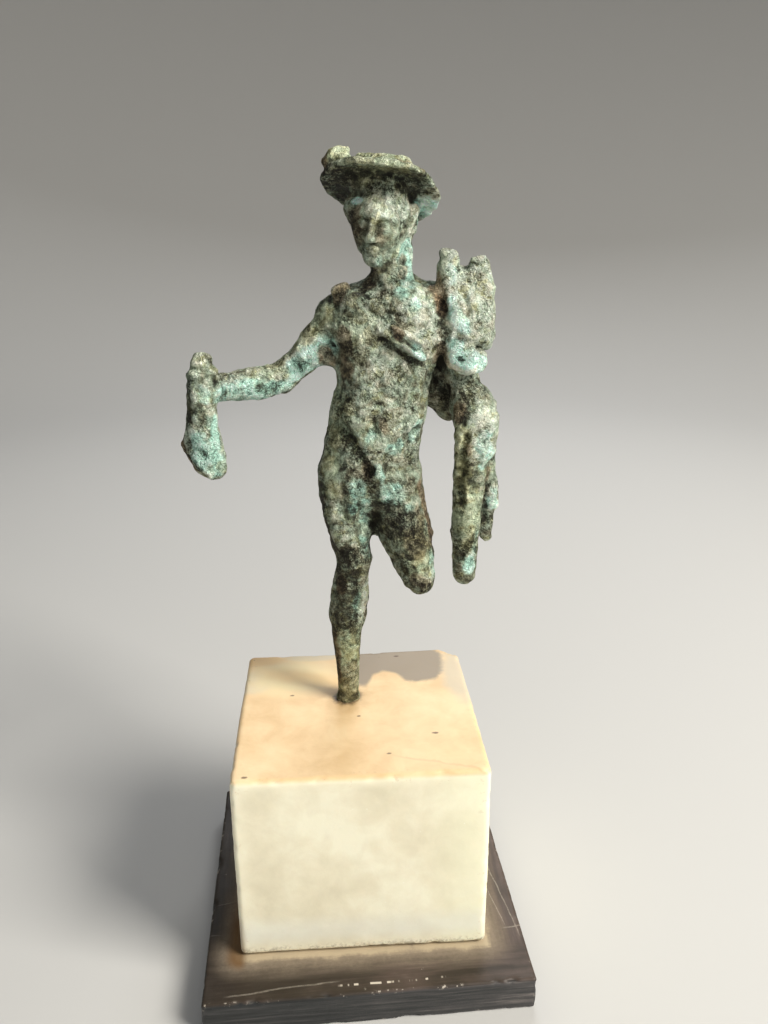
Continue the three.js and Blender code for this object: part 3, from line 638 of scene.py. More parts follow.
# Right arm and purse
# The arm is held out from the side and bent forward. The fist closes round the neck of a long leather
# purse, whose full end hangs below and swings in towards the body.
right_arm = [
    # Arm, with the armpit's fold, the elbow and the wrist
    limb(1.5, 1, (-0.8, 0.5, 73, 2.9), (-3.3, 0.6, 69.8, 2.95), (-7, 0.9, 65.5, 2.6), (-10.4, 1, 62.8, 2.45)),
    limb(
        1.0, 1, (-10.4, 1, 62.8, 2.5), (-13.6, -0.6, 62.1, 2.7), (-17, -2.4, 62.2, 2.6),
        (-20.4, -4.2, 62.2, 2.2),
    ),
    limb(1.2, 1, (-3.6, 0.4, 67.2, 2), (-1, 0.4, 66.8, 2.2)),
    limb(0.9, 1, (-11.4, 2.2, 62.6, 1.5), (-10.6, 2.6, 62.4, 1.2)),
    limb(1.0, 1, (-12.6, -1.2, 64.2, 1.2), (-14.8, -2.2, 64.0, 1.0)),
    limb(1.2, 0.9, (-21.4, -4.8, 62.8, 2.1), (-22.8, -5.6, 62.0, 2.3)),
    # Purse: its neck and gathers, then its full end
    limb(
        0.8, 1, (-22.9, -6, 66.6, 1.75), (-23.1, -6, 64.2, 2.2), (-23.3, -6, 60.6, 2.2),
        (-23.3, -6, 58.4, 2.3),
    ),
    limb(0.4, 1, (-23.4, -6.5, 67.9, 0.7), (-22.6, -6.9, 68.1, 0.65), (-21.8, -6.3, 67.4, 0.8)),
    limb(
        1, 0.9, (-23.3, -6, 58.4, 2.3), (-23.5, -6, 54.2, 3.0), (-22.8, -6, 51, 2.9),
        (-21.9, -6, 48.9, 2.1),
    ),
    limb(0.8, 1, (-24.6, -6, 54.4, 1.7), (-26.3, -5.9, 52.8, 1.05)),
    limb(0.8, 1, (-25.0, -6, 52.2, 1.6), (-23.8, -6, 49.4, 1.6)),
    # Fingers, thumb and the knuckles' dip
    *[
        limb(
            0.6, 1, (-20.9, -6.6, 65.4 - k, 0.8), (-22.4, -7.7, 65.2 - k, 0.85),
            (-24.0, -7.5, 64.9 - k, 0.85), (-24.9, -6.2, 64.6 - k, 0.7),
        )
        for k in (0.0, 1.65, 3.25, 4.7)
    ],
    limb(0.5, 1, (-21.4, -5.6, 65.4, 1.0), (-22.2, -7.3, 66.7, 0.85), (-23.4, -7.7, 66.9, 0.7)),
    hollow(0.8, (-20.6, -7.2, 64.2, 0.5), (-20.2, -6.8, 63.4, 0.5)),
    # Creases of the purse
    hollow(0.4, (-21.4, -8.0, 58.6, 0.2), (-21.6, -8.3, 54.6, 0.25), (-21.2, -8.4, 50.8, 0.2)),
    hollow(0.4, (-23.4, -8.5, 58.2, 0.2), (-24.2, -8.8, 54.4, 0.25), (-23.2, -8.8, 50.4, 0.2)),
    limb(0.6, 1, (-24.9, -7.4, 52.6, 0.8), (-23.9, -8.0, 50.0, 0.8), (-22.6, -7.8, 48.2, 0.7)),
]

# Head and hat
# A plain oval face with a calm look and the mouth closed, short curls behind the ears and at the nape. The
# head is turned and tilted to the figure's right. The hat has a thin brim, tipped back, bent and notched,
# a low crown and one worn wing.
curls = []
for level in (2.2, 0.6, -1.0, -2.6):
    for angle in np.radians(np.arange(66, 298, 25) + 9 * level):
        narrow = 4.85 - 0.30 * max(1 - level, 0)
        across, back = narrow * math.sin(angle), 1.2 - narrow * math.cos(angle)
        curls.append(limb(0.4, 1, (across, back, level, 1.1), (across * 0.98, back + 0.1, level - 1.2, 0.9)))

skull = [
    # Skull, jaw and cheeks
    limb(1.5, 1, (0, -0.3, 1.6, 4.6), (0, 2, 1.8, 4.7)),
    limb(1.5, 1, (0, -1.3, 1.2, 4.3), (0, -2, -2, 3.3), (0, -3.2, -4.5, 1.6)),
    *[limb(1.2, 1, (s * 2.7, 0, -2.2, 1.8), (s * 0.6, -3.2, -4.8, 1.2)) for s in BOTH],
    *[limb(1.3, 1, (s * 2.7, -3.6, -0.9, 1.2), (s * 2.1, -3.9, -2.0, 1.1)) for s in BOTH],
    # Brows, eyes and lids
    *[
        limb(0.8, 1, (s * 0.6, -5.35, 1.25, 0.5), (s * 2.0, -5.1, 1.4, 0.55), (s * 3.3, -4.0, 0.8, 0.5))
        for s in BOTH
    ],
    *[hollow(0.8, (s * 1.25, -6.0, 0.15, 0.75), (s * 2.4, -5.4, 0.1, 0.7)) for s in BOTH],
    *[limb(0.25, 1, (s * 1.6, -4.5, 0.05, 0.85), (s * 1.95, -4.4, 0.05, 0.85)) for s in BOTH],
    *[
        limb(
            0.15, 1, (s * 0.9, -5.15, 0.25, 0.22), (s * 1.75, -5.45, 0.6, 0.26),
            (s * 2.75, -4.7, 0.2, 0.22),
        )
        for s in BOTH
    ],
    *[
        limb(
            0.15, 1, (s * 1.0, -5.15, -0.2, 0.18), (s * 1.75, -5.35, -0.5, 0.2),
            (s * 2.6, -4.8, -0.15, 0.18),
        )
        for s in BOTH
    ],
    # Nose, lips and chin
    limb(0.6, 1, (0, -5.35, 1.0, 0.5), (0, -6.0, -0.8, 0.55), (0, -6.45, -1.9, 0.7)),
    *[limb(0.4, 1, (s * 0.3, -6.1, -2.1, 0.5), (s * 0.75, -5.6, -2.2, 0.45)) for s in BOTH],
    limb(
        0.3, 1, (-1.25, -4.75, -3.65, 0.25), (-0.4, -5.4, -3.4, 0.38), (0.4, -5.4, -3.4, 0.38),
        (1.25, -4.75, -3.65, 0.25),
    ),
    limb(0.3, 1, (-0.8, -4.95, -4.15, 0.32), (0, -5.3, -4.2, 0.42), (0.8, -4.95, -4.15, 0.32)),
    hollow(0.2, (-1.3, -5.3, -3.72, 0.13), (0, -5.95, -3.78, 0.16), (1.3, -5.3, -3.72, 0.13)),
    limb(0.7, 1, (-0.4, -4.2, -5.5, 0.95), (0.4, -4.2, -5.5, 0.95)),
    # Ears and hair
    *[
        limb(0.4, 1, (s * 3.9, -0.4, 1.0, 0.5), (s * 4.1, 0.1, -0.4, 0.5), (s * 3.7, -0.2, -1.6, 0.45))
        for s in BOTH
    ],
    *curls,
]

HAT_PLACE = (6.7, 0.3, 94.1)
HAT_TILT = (-27, 6.5, 0)
HAT_RADIUS = 9.9
RIM_HALF = 0.55
BRIM_BOX = np.array(((-HAT_RADIUS, -HAT_RADIUS, -4.0), (HAT_RADIUS, HAT_RADIUS, 1.6)))


def brim_distance(x, y, z):
    """Distance to a disc as thick as the rim. Its sides droop with the square of x, its front edge is bent
    down, and its outline is waved by a few cosines of the angle round it."""
    reach = np.hypot(x, y)
    angle = np.arctan2(x, -y)
    wave = 0.2 * np.cos(3 * angle + 0.6) + 0.14 * np.cos(7 * angle + 2.0) + 0.08 * np.cos(13 * angle)
    wave = wave - 1.5 * np.exp(-((angle + 2.2) / 0.6) ** 2) - 0.1 * smooth(x, 4, 9)
    droop = np.where(x > 0, 1.7 + 1.6 * smooth(y, -2, 6), 1.2) * (x / HAT_RADIUS) ** 2
    lift = z + droop + 0.045 * np.maximum(-y - 3.5, 0) ** 2 + 0.12 * np.cos(5 * angle)
    thick = RIM_HALF + 0.35 * np.clip(1 - reach / HAT_RADIUS, 0, 1)
    return np.hypot(np.maximum(reach - HAT_RADIUS - wave + thick, 0), lift) - thick


hat = [
    # Brim, and a low crown worn into two lumps
    form(1.0, BRIM_BOX, brim_distance),
    limb(1.2, 1, (1.4, -0.2, 0.2, 4.3), (1.6, 0.8, 0.5, 4.0)),
    limb(1.0, 1, (-2.0, -0.6, 0.4, 3.5), (-1.6, 1.0, 0.6, 3.5)),
    # Rolled front of the brim
    limb(0.7, 1, (-3.6, -6.6, 0.1, 0.9), (0.4, -7.0, 0.1, 1.0), (3.4, -6.4, 0.3, 0.95)),
    # Wing
    limb(
        0.7, 1, (-8.4, -4.0, 0.4, 1.1), (-7.9, -4.6, 1.1, 1.1), (-6.0, -4.6, 1.2, 1.1),
        (-5.2, -2.8, 0.9, 1.2),
    ),
    limb(0.5, 1, (-7.2, -5.0, 2.0, 0.6), (-5.6, -4.9, 2.3, 0.6)),
    hollow(0.5, (-7.4, -6.0, 1.6, 0.4), (-6.2, -6.0, 1.7, 0.4)),
    hollow(0.5, (-7.8, -5.6, 0.4, 0.4), (-7.0, -5.8, 0.5, 0.35)),
]
head = [
    # Neck, with a cord on each side
    limb(2, 1, (8.8, 0.8, 76.5, 3.7), (8.6, 0.5, 81, 3.3), (8, 1, 86, 3.6)),
    limb(0.8, 1, (11.6, 0.2, 84.5, 0.8), (11.3, -1.6, 80.5, 0.9), (11.0, -2.4, 77.2, 0.9)),
    limb(0.8, 1, (6.2, -0.2, 83, 0.9), (7.4, -2.0, 79.5, 0.8), (9.2, -2.8, 76.4, 0.7)),
    hollow(0.5, (10.2, -2.6, 83.0, 0.35), (9.7, -3.2, 79.6, 0.4), (9.6, -3.7, 77.8, 0.3)),
    # Curls at the temple
    limb(0.8, 1, (2.6, -0.4, 90.6, 1.8), (2.9, -0.6, 89.2, 1.5), (3.4, -0.6, 87.8, 1.0)),
    *placed((7.1, -0.1, 88.2), (4, 7, -18), skull),
    *placed(HAT_PLACE, HAT_TILT, hat),
]

# Cloak
# A short riding cloak pinned on the right shoulder and drawn over the chest, heaped in folds on the left
# shoulder. It falls down the back and over the left forearm, and a long end and a short one hang from that.
cloak = [
    # Pin on the right shoulder
    limb(0.7, 1, (-0.4, -1.6, 77.6, 1.1), (0.8, -1.8, 77.8, 1.15)),
    limb(0.6, 1, (-0.2, -1.4, 76.2, 1.2), (1.4, -2.4, 75.4, 1.2)),
    hollow(0.5, (-0.8, -3.0, 76.6, 0.4), (0.4, -3.5, 76.4, 0.4)),
    # Cloth across the chest, up to the heap
    limb(
        1.4, 0.9, (2.2, -2.8, 76.4, 1.0), (5.4, -4.0, 75.0, 1.1), (9.2, -4.2, 75.4, 1.1),
        (12.8, -3.0, 77.4, 1.2),
    ),
    limb(
        1.8, 0.9, (2.4, -3.0, 75.2, 1.1), (7.2, -4.2, 71.8, 1.4), (11.0, -4.2, 69.4, 1.5),
        (13.4, -3.6, 67.9, 1.5),
    ),
    limb(2.2, 0.9, (10.0, -2.8, 75.8, 2.2), (13.4, -2.6, 73.0, 2.6), (14.0, -2.8, 69.8, 2.2)),
    limb(
        1.0, 1, (15.7, -2.2, 76.5, 1.6), (15.9, -2.2, 70, 1.6), (15.4, -1.2, 65.8, 1.1),
        (14.7, -0.4, 62.4, 0.7),
    ),
    # Lips of the strap, with grooves between them
    limb(
        0.35, 1, (6.4, -5.7, 71.6, 0.4), (9.0, -6.0, 70.0, 0.5), (12.0, -5.7, 67.9, 0.55),
        (13.6, -5.1, 66.7, 0.5),
    ),
    hollow(
        0.45, (5.8, -5.7, 70.7, 0.3), (8.6, -5.9, 68.7, 0.38), (11.4, -5.3, 66.7, 0.4),
        (13.7, -4.2, 65.4, 0.38),
    ),
    hollow(0.35, (7.4, -6.1, 71.6, 0.3), (9.6, -6.6, 70.3, 0.35), (12.4, -6.2, 68.6, 0.3)),
    limb(0.35, 1, (8.2, -5.8, 72.2, 0.4), (10.6, -5.9, 71.0, 0.5), (13.2, -5.5, 69.4, 0.4)),
    hollow(0.6, (3.0, -4.8, 74.2, 0.3), (6.6, -5.7, 72.6, 0.3), (9.4, -5.5, 72.6, 0.25)),
    hollow(0.7, (2.6, -4.3, 75.9, 0.3), (5.8, -5.3, 73.8, 0.35), (9.6, -5.1, 73.8, 0.3)),
    # Heap of folds on the left shoulder, its ends worn open
    limb(
        0.4, 1, (17.2, -2.5, 83.3, 0.65), (18.8, -2.5, 83.2, 0.65), (18.9, 0.2, 83.3, 0.65),
        (17.2, 0.2, 83.3, 0.65),
    ),
    limb(
        1, 1, (18.2, -1.2, 81.4, 1.9), (18.2, -1.6, 76.5, 2.5), (18.6, -2.2, 70.5, 2.5),
        (20, -2, 66.8, 2.2),
    ),
    limb(1, 1, (20.9, -0.6, 78.8, 2.1), (21.2, -1.8, 75, 2.4), (21.2, -2.4, 70.4, 2.3)),
    limb(1, 1, (23.4, -0.2, 80.8, 2.0), (23.7, -0.6, 75.5, 2.3), (23.9, -1.0, 70, 2.4)),
    limb(0.4, 1, (22.2, -1.5, 82.1, 0.65), (23.7, -1.3, 82.2, 0.65), (24.4, -0.8, 80.8, 0.7)),
    limb(1.2, 1, (20.8, 2, 79, 2.2), (21.2, 2.4, 72, 2.8), (20.6, 1.4, 66.6, 2.4)),
    limb(0.8, 1, (24.3, -0.2, 79.4, 1.2), (24.9, -0.2, 77.4, 1.15)),
    limb(0.4, 1, (25.1, -0.2, 71.6, 1.3), (25.0, -0.2, 68.4, 1.2)),
    limb(0.7, 1, (19.6, -2.6, 66.6, 2.2), (21.4, -2.6, 65.9, 2.5), (23.0, -2.0, 65.7, 2.1)),
    limb(0.6, 1, (18.6, -3.6, 75.6, 0.9), (19.6, -4.1, 72.6, 1.0), (20.8, -4.2, 70.4, 0.9)),
    # Grooves between the folds
    hollow(0.7, (20.0, -2.9, 80.5, 0.3), (20.6, -3.9, 76.5, 0.4), (21.4, -4.5, 73.0, 0.35)),
    hollow(0.7, (22.6, -2.6, 79.8, 0.3), (22.8, -3.9, 76.0, 0.4), (22.4, -4.5, 71.6, 0.35)),
    hollow(0.5, (19.2, -4.5, 69.8, 0.3), (21.4, -4.7, 69.2, 0.35), (23.8, -3.2, 68.4, 0.3)),
    hollow(0.4, (19.4, -4.8, 66.9, 0.25), (20.4, -4.9, 66.2, 0.25)),
    hollow(
        0.6, (16.2, -3.2, 79.0, 0.4), (17.0, -4.3, 74.4, 0.7), (17.5, -4.9, 71.4, 0.8),
        (17.0, -4.3, 69.0, 0.5),
    ),
    hollow(0.5, (16.8, -4.0, 68.6, 0.45), (16.9, -2.6, 66.0, 0.4)),
    # Left arm under the cloth
    limb(1.5, 1, (16, 1, 73, 3), (18.6, 1.8, 67, 2.7), (21.4, 1.8, 61.6, 3), (22.2, 0.6, 57.6, 3)),
    limb(1.5, 1, (22, 1, 58, 3), (22.6, -1.2, 56.6, 3.0)),
    # Cloth over the forearm
    limb(
        0.7, 1, (23.8, -0.2, 60.0, 1.5), (24.8, -1.2, 57.4, 2.3), (25.0, -1.8, 54.4, 2.5),
        (24.6, -1.8, 50.4, 2.5),
    ),
    limb(1.2, 1, (24.6, 1.6, 58.4, 2.2), (25.4, 1.4, 53, 2.2)),
    limb(0.4, 1, (26.6, -0.6, 56.0, 0.9), (27.4, -0.2, 54.7, 0.55)),
    limb(
        0.9, 1, (20.4, -0.6, 59.8, 0.9), (20.5, -2.6, 56.2, 1.1), (20.9, -3.2, 53.8, 1.3),
        (21.0, -3.4, 51.4, 1.4),
    ),
    hollow(0.7, (21.9, -2.2, 61.0, 0.6), (22.2, -4.0, 57.8, 0.8), (22.2, -4.6, 54.8, 0.6)),
    hollow(0.5, (22.0, -4.9, 51.6, 0.6), (21.9, -4.2, 48.4, 0.6)),
    # Long end
    limb(
        1.2, 0.85, (23, -2.2, 55, 3.2), (22.7, -1.4, 49, 3), (22.4, -1, 42, 2.8), (22.1, -0.8, 34, 2.6),
        (22.2, -0.6, 25.8, 2.15),
    ),
    limb(1.0, 1, (24.4, 0.4, 46, 1.8), (24.6, 0.4, 40, 1.3)),
    # Short end, with two points
    limb(0.9, 1, (25.4, 1.4, 53, 2.2), (26.0, 1.6, 46, 1.65), (26.7, 1.5, 41, 1.75), (27.0, 1.6, 38.8, 1.75)),
    limb(0.5, 1, (26.7, 1.8, 37.2, 1.1), (26.75, 2.0, 34.0, 0.85), (26.75, 2.0, 32.0, 0.85)),
    limb(0.4, 1, (26.3, 1.7, 31.7, 0.6), (27.2, 2.2, 31.7, 0.6)),
    limb(0.4, 1, (25.8, 1.8, 38.4, 1.1), (25.7, 2.0, 34.6, 0.85), (25.9, 2.0, 32.2, 0.75)),
    # Fold lines of both ends
    hollow(
        0.5, (21.2, -4.6, 53, 0.6), (20.8, -3.5, 47, 0.7), (20.7, -2.9, 42, 0.7),
        (21.5, -3.5, 38.6, 0.45),
    ),
    hollow(0.5, (23.7, -4.4, 50, 0.4), (23.4, -3.7, 45.6, 0.5), (22.6, -3.4, 42, 0.4)),
    hollow(
        0.5, (26.6, -0.7, 47.4, 0.5), (26.2, -1.0, 44.5, 0.6), (25.6, -0.6, 40.5, 0.65),
        (25.3, -0.4, 37.2, 0.5),
    ),
    hollow(0.5, (22.5, -3.3, 32.6, 0.5), (21.8, -3.0, 31.0, 0.5), (21.1, -2.6, 29.4, 0.4)),
    # Web of cloth behind the arm
    limb(1.2, 1, (15, 3, 66, 2.2), (16.6, 3.4, 60, 1.8), (19, 3, 56, 1.8)),
    limb(1.0, 1, (14.2, 2.6, 62, 1.8), (15.2, 2.8, 58.8, 1.5), (18.4, 3, 56.8, 1.6)),
    # Cloth down the back, in three folds
    limb(1.5, 1, (16, 3.6, 76, 2.6), (18.5, 4.4, 67, 2.5), (20, 3.8, 58, 2.2)),
    limb(1.2, 1, (11, 4, 77, 1.8), (13, 5, 69, 1.9), (16, 4.8, 60, 1.6)),
    *[
        hollow(
            0.7, (13.2 + k, 7.2 - k * 0.2, 75, 0.5), (15.4 + k, 7.6 - k * 0.3, 67, 0.5),
            (17.6 + k * 0.8, 6.9 - k * 0.3, 59, 0.4),
        )
        for k in (0.0, 2.6, 5.0)
    ],
]

# Casting
# The forms are melted together into one field of distances on a grid, corrosion is worked into it, and its
# zero surface is the skin of the metal. The grid is finer across the trunk and up the head than elsewhere.
STEP = 0.36
FINE_STEP = 0.27
STEP_BACK = 0.31
RULER_MARKS = 4000
FIELD_REACH = 9.0
FORM_MARGIN = 0.8
RELIEF_REACH = 1.3
FOOT_LET_IN = 0.5


def grid_line(low, high, step, fine_low=0.0, fine_high=0.0, fine=1.0):
    """Places along one axis: steps of one width, and narrower ones between two bounds."""
    ruler = np.linspace(low, high, RULER_MARKS)
    width = np.where((ruler > fine_low) & (ruler < fine_high), fine, step)
    passed = np.concatenate(((0,), np.cumsum(np.diff(ruler) / width[1:])))
    return np.interp(np.arange(int(passed[-1]) + 1), passed, ruler)


lines = [
    grid_line(-29, 31, STEP, 1.0, 13.5, FINE_STEP),
    grid_line(-12, 13, STEP_BACK),
    grid_line(-1.5, 103, STEP, 81, 102, FINE_STEP),
]
field = np.full([len(line) for line in lines], FIELD_REACH, np.float32)
for shape in [*trunk, *legs, *right_arm, *head, *cloak]:
    margin = shape["blend"] + FORM_MARGIN
    corners = np.array(list(itertools.product(*shape["box"].T))) @ shape["turn"].T + shape["at"]
    bounds = zip(lines, corners.min(0) - margin, corners.max(0) + margin)
    window = tuple(slice(*np.searchsorted(line, (low, high))) for line, low, high in bounds)
    near = [line[part] for line, part in zip(lines, window)]
    near = [part - shape["at"][axis] for axis, part in enumerate(np.ix_(*near))]
    local = near
    if not np.allclose(shape["turn"], np.eye(3)):
        local = [sum(shape["turn"][axis, own] * near[axis] for axis in range(3)) for own in range(3)]
    gap = shape["distance"](*local)
    region = field[window]
    sign = -1 if shape["carve"] else 1
    share = np.maximum(shape["blend"] - np.abs(sign * region - gap), 0) / shape["blend"]
    field[window] = sign * (np.minimum(sign * region, gap) - share * share * shape["blend"] / 4)


SCATTER = 20


def scattered(points, size, seed):
    """Distance to the nearest of points scattered one to a cell, in cell sizes. It repeats after SCATTER
    cells."""
    rng = np.random.default_rng(seed)
    shift = rng.random((SCATTER, SCATTER, SCATTER, 3)).astype(np.float32)
    place = (points / size).astype(np.float32)
    cell = np.floor(place).astype(np.int32)
    nearest = np.full(len(points), FIELD_REACH, np.float32)
    for step in itertools.product((-1, 0, 1), repeat=3):
        other = cell + step
        at = other % SCATTER
        gap = other + shift[at[:, 0], at[:, 1], at[:, 2]] - place
        nearest = np.minimum(nearest, (gap * gap).sum(1))
    return np.sqrt(nearest)


def pitting(points):
    """How far corrosion lifts or sinks the surface at each point, in units, and the four patterns in it.

    Swellings of three sizes are added together, and scattered pits are sunk between them. The lower leg
    and the face are smoother than the rest.
    """
    y, z = points.T[1:]
    amount = 0.35 + 0.65 * smooth(z, 12, 30)
    amount = amount * (1 - 0.65 * (smooth(z, 81, 84) * (1 - smooth(z, 91, 93)) * smooth(-y, 1, 3)))
    broad = noise(points, 3.1, 21)
    middle = noise(points, 1.35, 22)
    small = noise(points, 0.8, 23)
    pits = 1 - smooth(scattered(points + 0.9 * noise(points, 1.1, 25)[:, None], 1.9, 24), 0.05, 0.42)
    pits = pits * smooth(noise(points, 4.2, 26), -0.35, 0.45)
    return amount * (0.18 * broad + 0.18 * middle + 0.12 * small - 0.2 * pits), middle, small, pits, broad


close = np.argwhere(np.abs(field) < RELIEF_REACH)
at = np.stack([lines[axis][close[:, axis]] for axis in range(3)], -1)
field[tuple(close.T)] -= pitting(at)[0]
field = np.maximum(field, (-FOOT_LET_IN - lines[2])[None, None, :])


def skin(field, lines):
    """Points and quads of the surface where the field is nought.

    One point stands in each cell that the surface crosses, at the mean of the places where it crosses the
    cell's edges, and one quad lies round each edge that it crosses.
    """
    shape = np.array(field.shape)
    strides = np.array((shape[1] * shape[2], shape[2], 1))
    rings, crossings = [], []
    for axis in range(3):
        ahead = np.roll(field, -1, axis)
        crossed = (field < 0) != (ahead < 0)
        crossed[tuple(-1 if i == axis else slice(None) for i in range(3))] = False
        base = np.argwhere(crossed)
        here, there = field[crossed], ahead[crossed]
        place = np.stack([lines[i][base[:, i]] for i in range(3)], -1)
        width = lines[axis][base[:, axis] + 1] - lines[axis][base[:, axis]]
        place[:, axis] += width * here / (here - there)
        u, v = strides[(axis + 1) % 3], strides[(axis + 2) % 3]
        ring = (base @ strides)[:, None] - (0, u, u + v, v)
        ring[here >= 0] = ring[here >= 0, ::-1]
        rings.append(ring)
        crossings.append(place)
    rings, crossings = np.concatenate(rings), np.concatenate(crossings)
    which = np.unique(rings, return_inverse=True)[1].reshape(rings.shape)
    share = np.bincount(which.ravel())
    points = np.stack([
        np.bincount(which.ravel(), np.repeat(crossings[:, axis], 4)) / share for axis in range(3)
    ], -1)
    return points, which


def largest(points, quads):
    """Only the largest connected part: each point takes the lowest number that it can reach."""
    label = np.arange(len(points))
    while True:
        lowest = label[quads].min(1)
        new = label.copy()
        for corner in range(4):
            np.minimum.at(new, quads[:, corner], lowest)
        new = new[new]
        if (new == label).all():
            break
        label = new
    kept = label == np.bincount(label).argmax()
    number = np.cumsum(kept) - 1
    return points[kept], number[quads[kept[quads[:, 0]]]]


def sampled(volume, lines, points):
    """A grid's values at points between its nodes, weighted by how near each of the eight nodes is."""
    place = [np.interp(points[:, axis], line, np.arange(len(line))) for axis, line in enumerate(lines)]
    place = np.stack(place, -1)
    cell = np.minimum(place.astype(int), np.array(volume.shape) - 2)
    part = place - cell
    total = np.zeros(len(points))
    for corner in itertools.product((0, 1), repeat=3):
        total += np.where(corner, part, 1 - part).prod(1) * volume[tuple((cell + corner).T)]
    return total


SOFT_SKIN = 0.6


def surrounded(field, lines, points, cells):
    """How much metal there is round a point: 0.5 on a flat face, more in a hollow, less on a ridge. The
    filled share of each cell is averaged over a window of cells along each axis, three times over."""
    filled = np.clip(0.5 - field / SOFT_SKIN, 0, 1)
    for axis in (0, 1, 2) * 3:
        wide = [(cells + 1, cells) if i == axis else (0, 0) for i in range(3)]
        total = np.cumsum(np.pad(filled, wide, mode="edge"), axis, dtype=np.float32)
        ahead = np.take(total, np.arange(2 * cells + 1, total.shape[axis]), axis)
        behind = np.take(total, np.arange(0, total.shape[axis] - 2 * cells - 1), axis)
        filled = (ahead - behind) / (2 * cells + 1)
    return sampled(filled, lines, points)


points, quads = largest(*skin(field, lines))

# Patina
# Buried bronze: an olive-black skin with a pale, grainy crust on what stands proud, mint and turquoise
# copper salts in patches, earth-brown in sheltered places and a smoother olive lower leg. Painted shade
# darkens the underside of the brim and the sides turned from the light, and painted light brightens lit
# edges.
middle, small, pits, broad = pitting(points)[1:]
fold = surrounded(field, lines, points, 1) - 0.5
shelter = surrounded(field, lines, points, 5) - 0.5
proud = 0.50 + 0.10 * middle + 0.10 * small - 0.12 * pits + 0.05 * broad
proud = proud - 1.0 * fold - 0.9 * np.maximum(shelter, 0)
break_up = 0.34 * noise(points, 2.4, 31) + 0.32 * noise(points, 0.95, 32)


def areas(*patches):
    """How far areas of one colour cover each point. An area is its strength, its radius and the spots of a
    line that it follows, and its edge is broken up by noise."""
    total = np.zeros(len(points))
    for strength, radius, *spots in patches:
        spots = np.array(spots, float)
        gap = np.linalg.norm(points - spots[0], axis=1)
        for a, b in zip(spots[:-1], spots[1:]):
            along = np.clip((points - a) @ (b - a) / ((b - a) @ (b - a)), 0, 1)
            gap = np.minimum(gap, np.linalg.norm(points - a - along[:, None] * (b - a), axis=1))
        total = np.maximum(total, strength * smooth(-gap / radius - break_up, -1.35, -0.75))
    return total


mint = areas(
    # Head and hat
    (1.0, 0.7, (3.0, -4.2, 91.9), (2.9, -2.2, 91.2)), (0.75, 3.0, (15.2, 2, 92.4), (13.8, 2, 90.4)),
    # Neck
    (0.8, 1.5, (11.3, -1.6, 83.8), (11.2, -2.5, 81.0), (11.6, -2.5, 78.4)),
    (0.6, 1.0, (6.6, -4.8, 82.4), (7.2, -3.8, 81.2)),
    # Right arm and purse
    (1.0, 1.9, (-19.6, -6, 61.2), (-17.0, -5, 61.4)),
    (0.9, 2.0, (-16.6, -4, 61.6), (-13.4, -3.5, 60.6), (-9.6, -2, 60.6)),
    (1.0, 2.3, (-7.0, -2, 65.0), (-3.6, -2, 67.2), (-2.4, -1.6, 68.6)),
    (0.7, 1.3, (-7.8, -2, 63.4), (-5.0, -2, 64.2)), (0.9, 1.4, (-21.0, -8, 57.5), (-20.7, -8, 54)),
    (0.8, 2.2, (-23.4, -9, 53.6), (-22.8, -9, 51.2), (-21.0, -8, 49.4)),
    (0.6, 1.1, (-22.4, -9, 62.4), (-21.8, -9, 61.4)),
    # Bunch on the left shoulder
    (0.8, 1.2, (18.2, -4.5, 75.4), (19.0, -4.5, 73.4), (20.6, -5, 71.8)),
    (1.0, 1.6, (18.9, -5, 68.2), (19.8, -5.5, 66.6), (22.0, -5, 66.4)),
    (0.9, 1.0, (24.0, -3.5, 65.6), (23.4, -3.5, 64.6)), (0.6, 1.1, (18.2, -3.5, 80.8), (18.6, -4, 79.4)),
    # Left forearm and hanging ends
    (0.8, 1.4, (24.4, -4, 52.4), (25.2, -3.5, 48.2)), (0.6, 1.0, (26.2, -2, 51.4), (26.4, -1, 48.6)),
    (1.0, 1.2, (27.2, -0.4, 41.0), (27.4, -0.4, 38.8)),
    (0.9, 1.3, (23.0, -2.7, 28.8), (22.8, -2.7, 27.2)), (0.5, 0.9, (24.3, -3, 34.0), (24.0, -3, 30.0)),
    # Chest, strap and waist
    (0.7, 1.4, (10.0, -4, 76.6), (11.6, -4, 75.4)), (1.0, 0.9, (12.6, -6, 68.4), (13.4, -5.5, 66.9)),
    # Belly and hips
    (0.8, 0.9, (6.3, -6.2, 47.8), (6.8, -6, 45.6)), (0.8, 1.0, (8.2, -5.1, 50.8), (9.8, -4.8, 51.8)),
    (0.5, 1.4, (4.8, -6.3, 53.6)), (0.7, 1.2, (12.6, -3.6, 53.0), (12.6, -3.6, 55.2)),
    # Left thigh and stump
    (0.8, 1.6, (7.4, -5.5, 43.4), (9.2, -5.5, 42.8)), (0.5, 1.2, (11.6, -6, 40.5), (11.3, -6, 38.2)),
    (0.6, 1.2, (15.4, -5, 31.5), (15.8, -5, 28.0)),
    # Right thigh and knee
    (1.0, 1.5, (2.4, -5.5, 44.6), (1.9, -5.8, 42.2), (2.2, -5.5, 41.2)),
    (0.65, 1.3, (3.6, -4.8, 41.0), (3.9, -4.2, 36.2), (3.9, -3.6, 31.6)),
    # Right lower leg and ankle
    (0.5, 0.7, (2.2, -2.8, 22.4), (1.8, -2.8, 18.6)),
    # Behind
    (0.5, 5, (6, 5, 70)), (0.5, 4, (0, 4, 44)), (0.5, 4, (17, 6, 62)), (0.5, 4, (-18, 3, 62)),
    (0.4, 3, (8, 6, 86)), (0.5, 4, (24, 4, 50)), (0.4, 4, (10, 4, 40)),
)
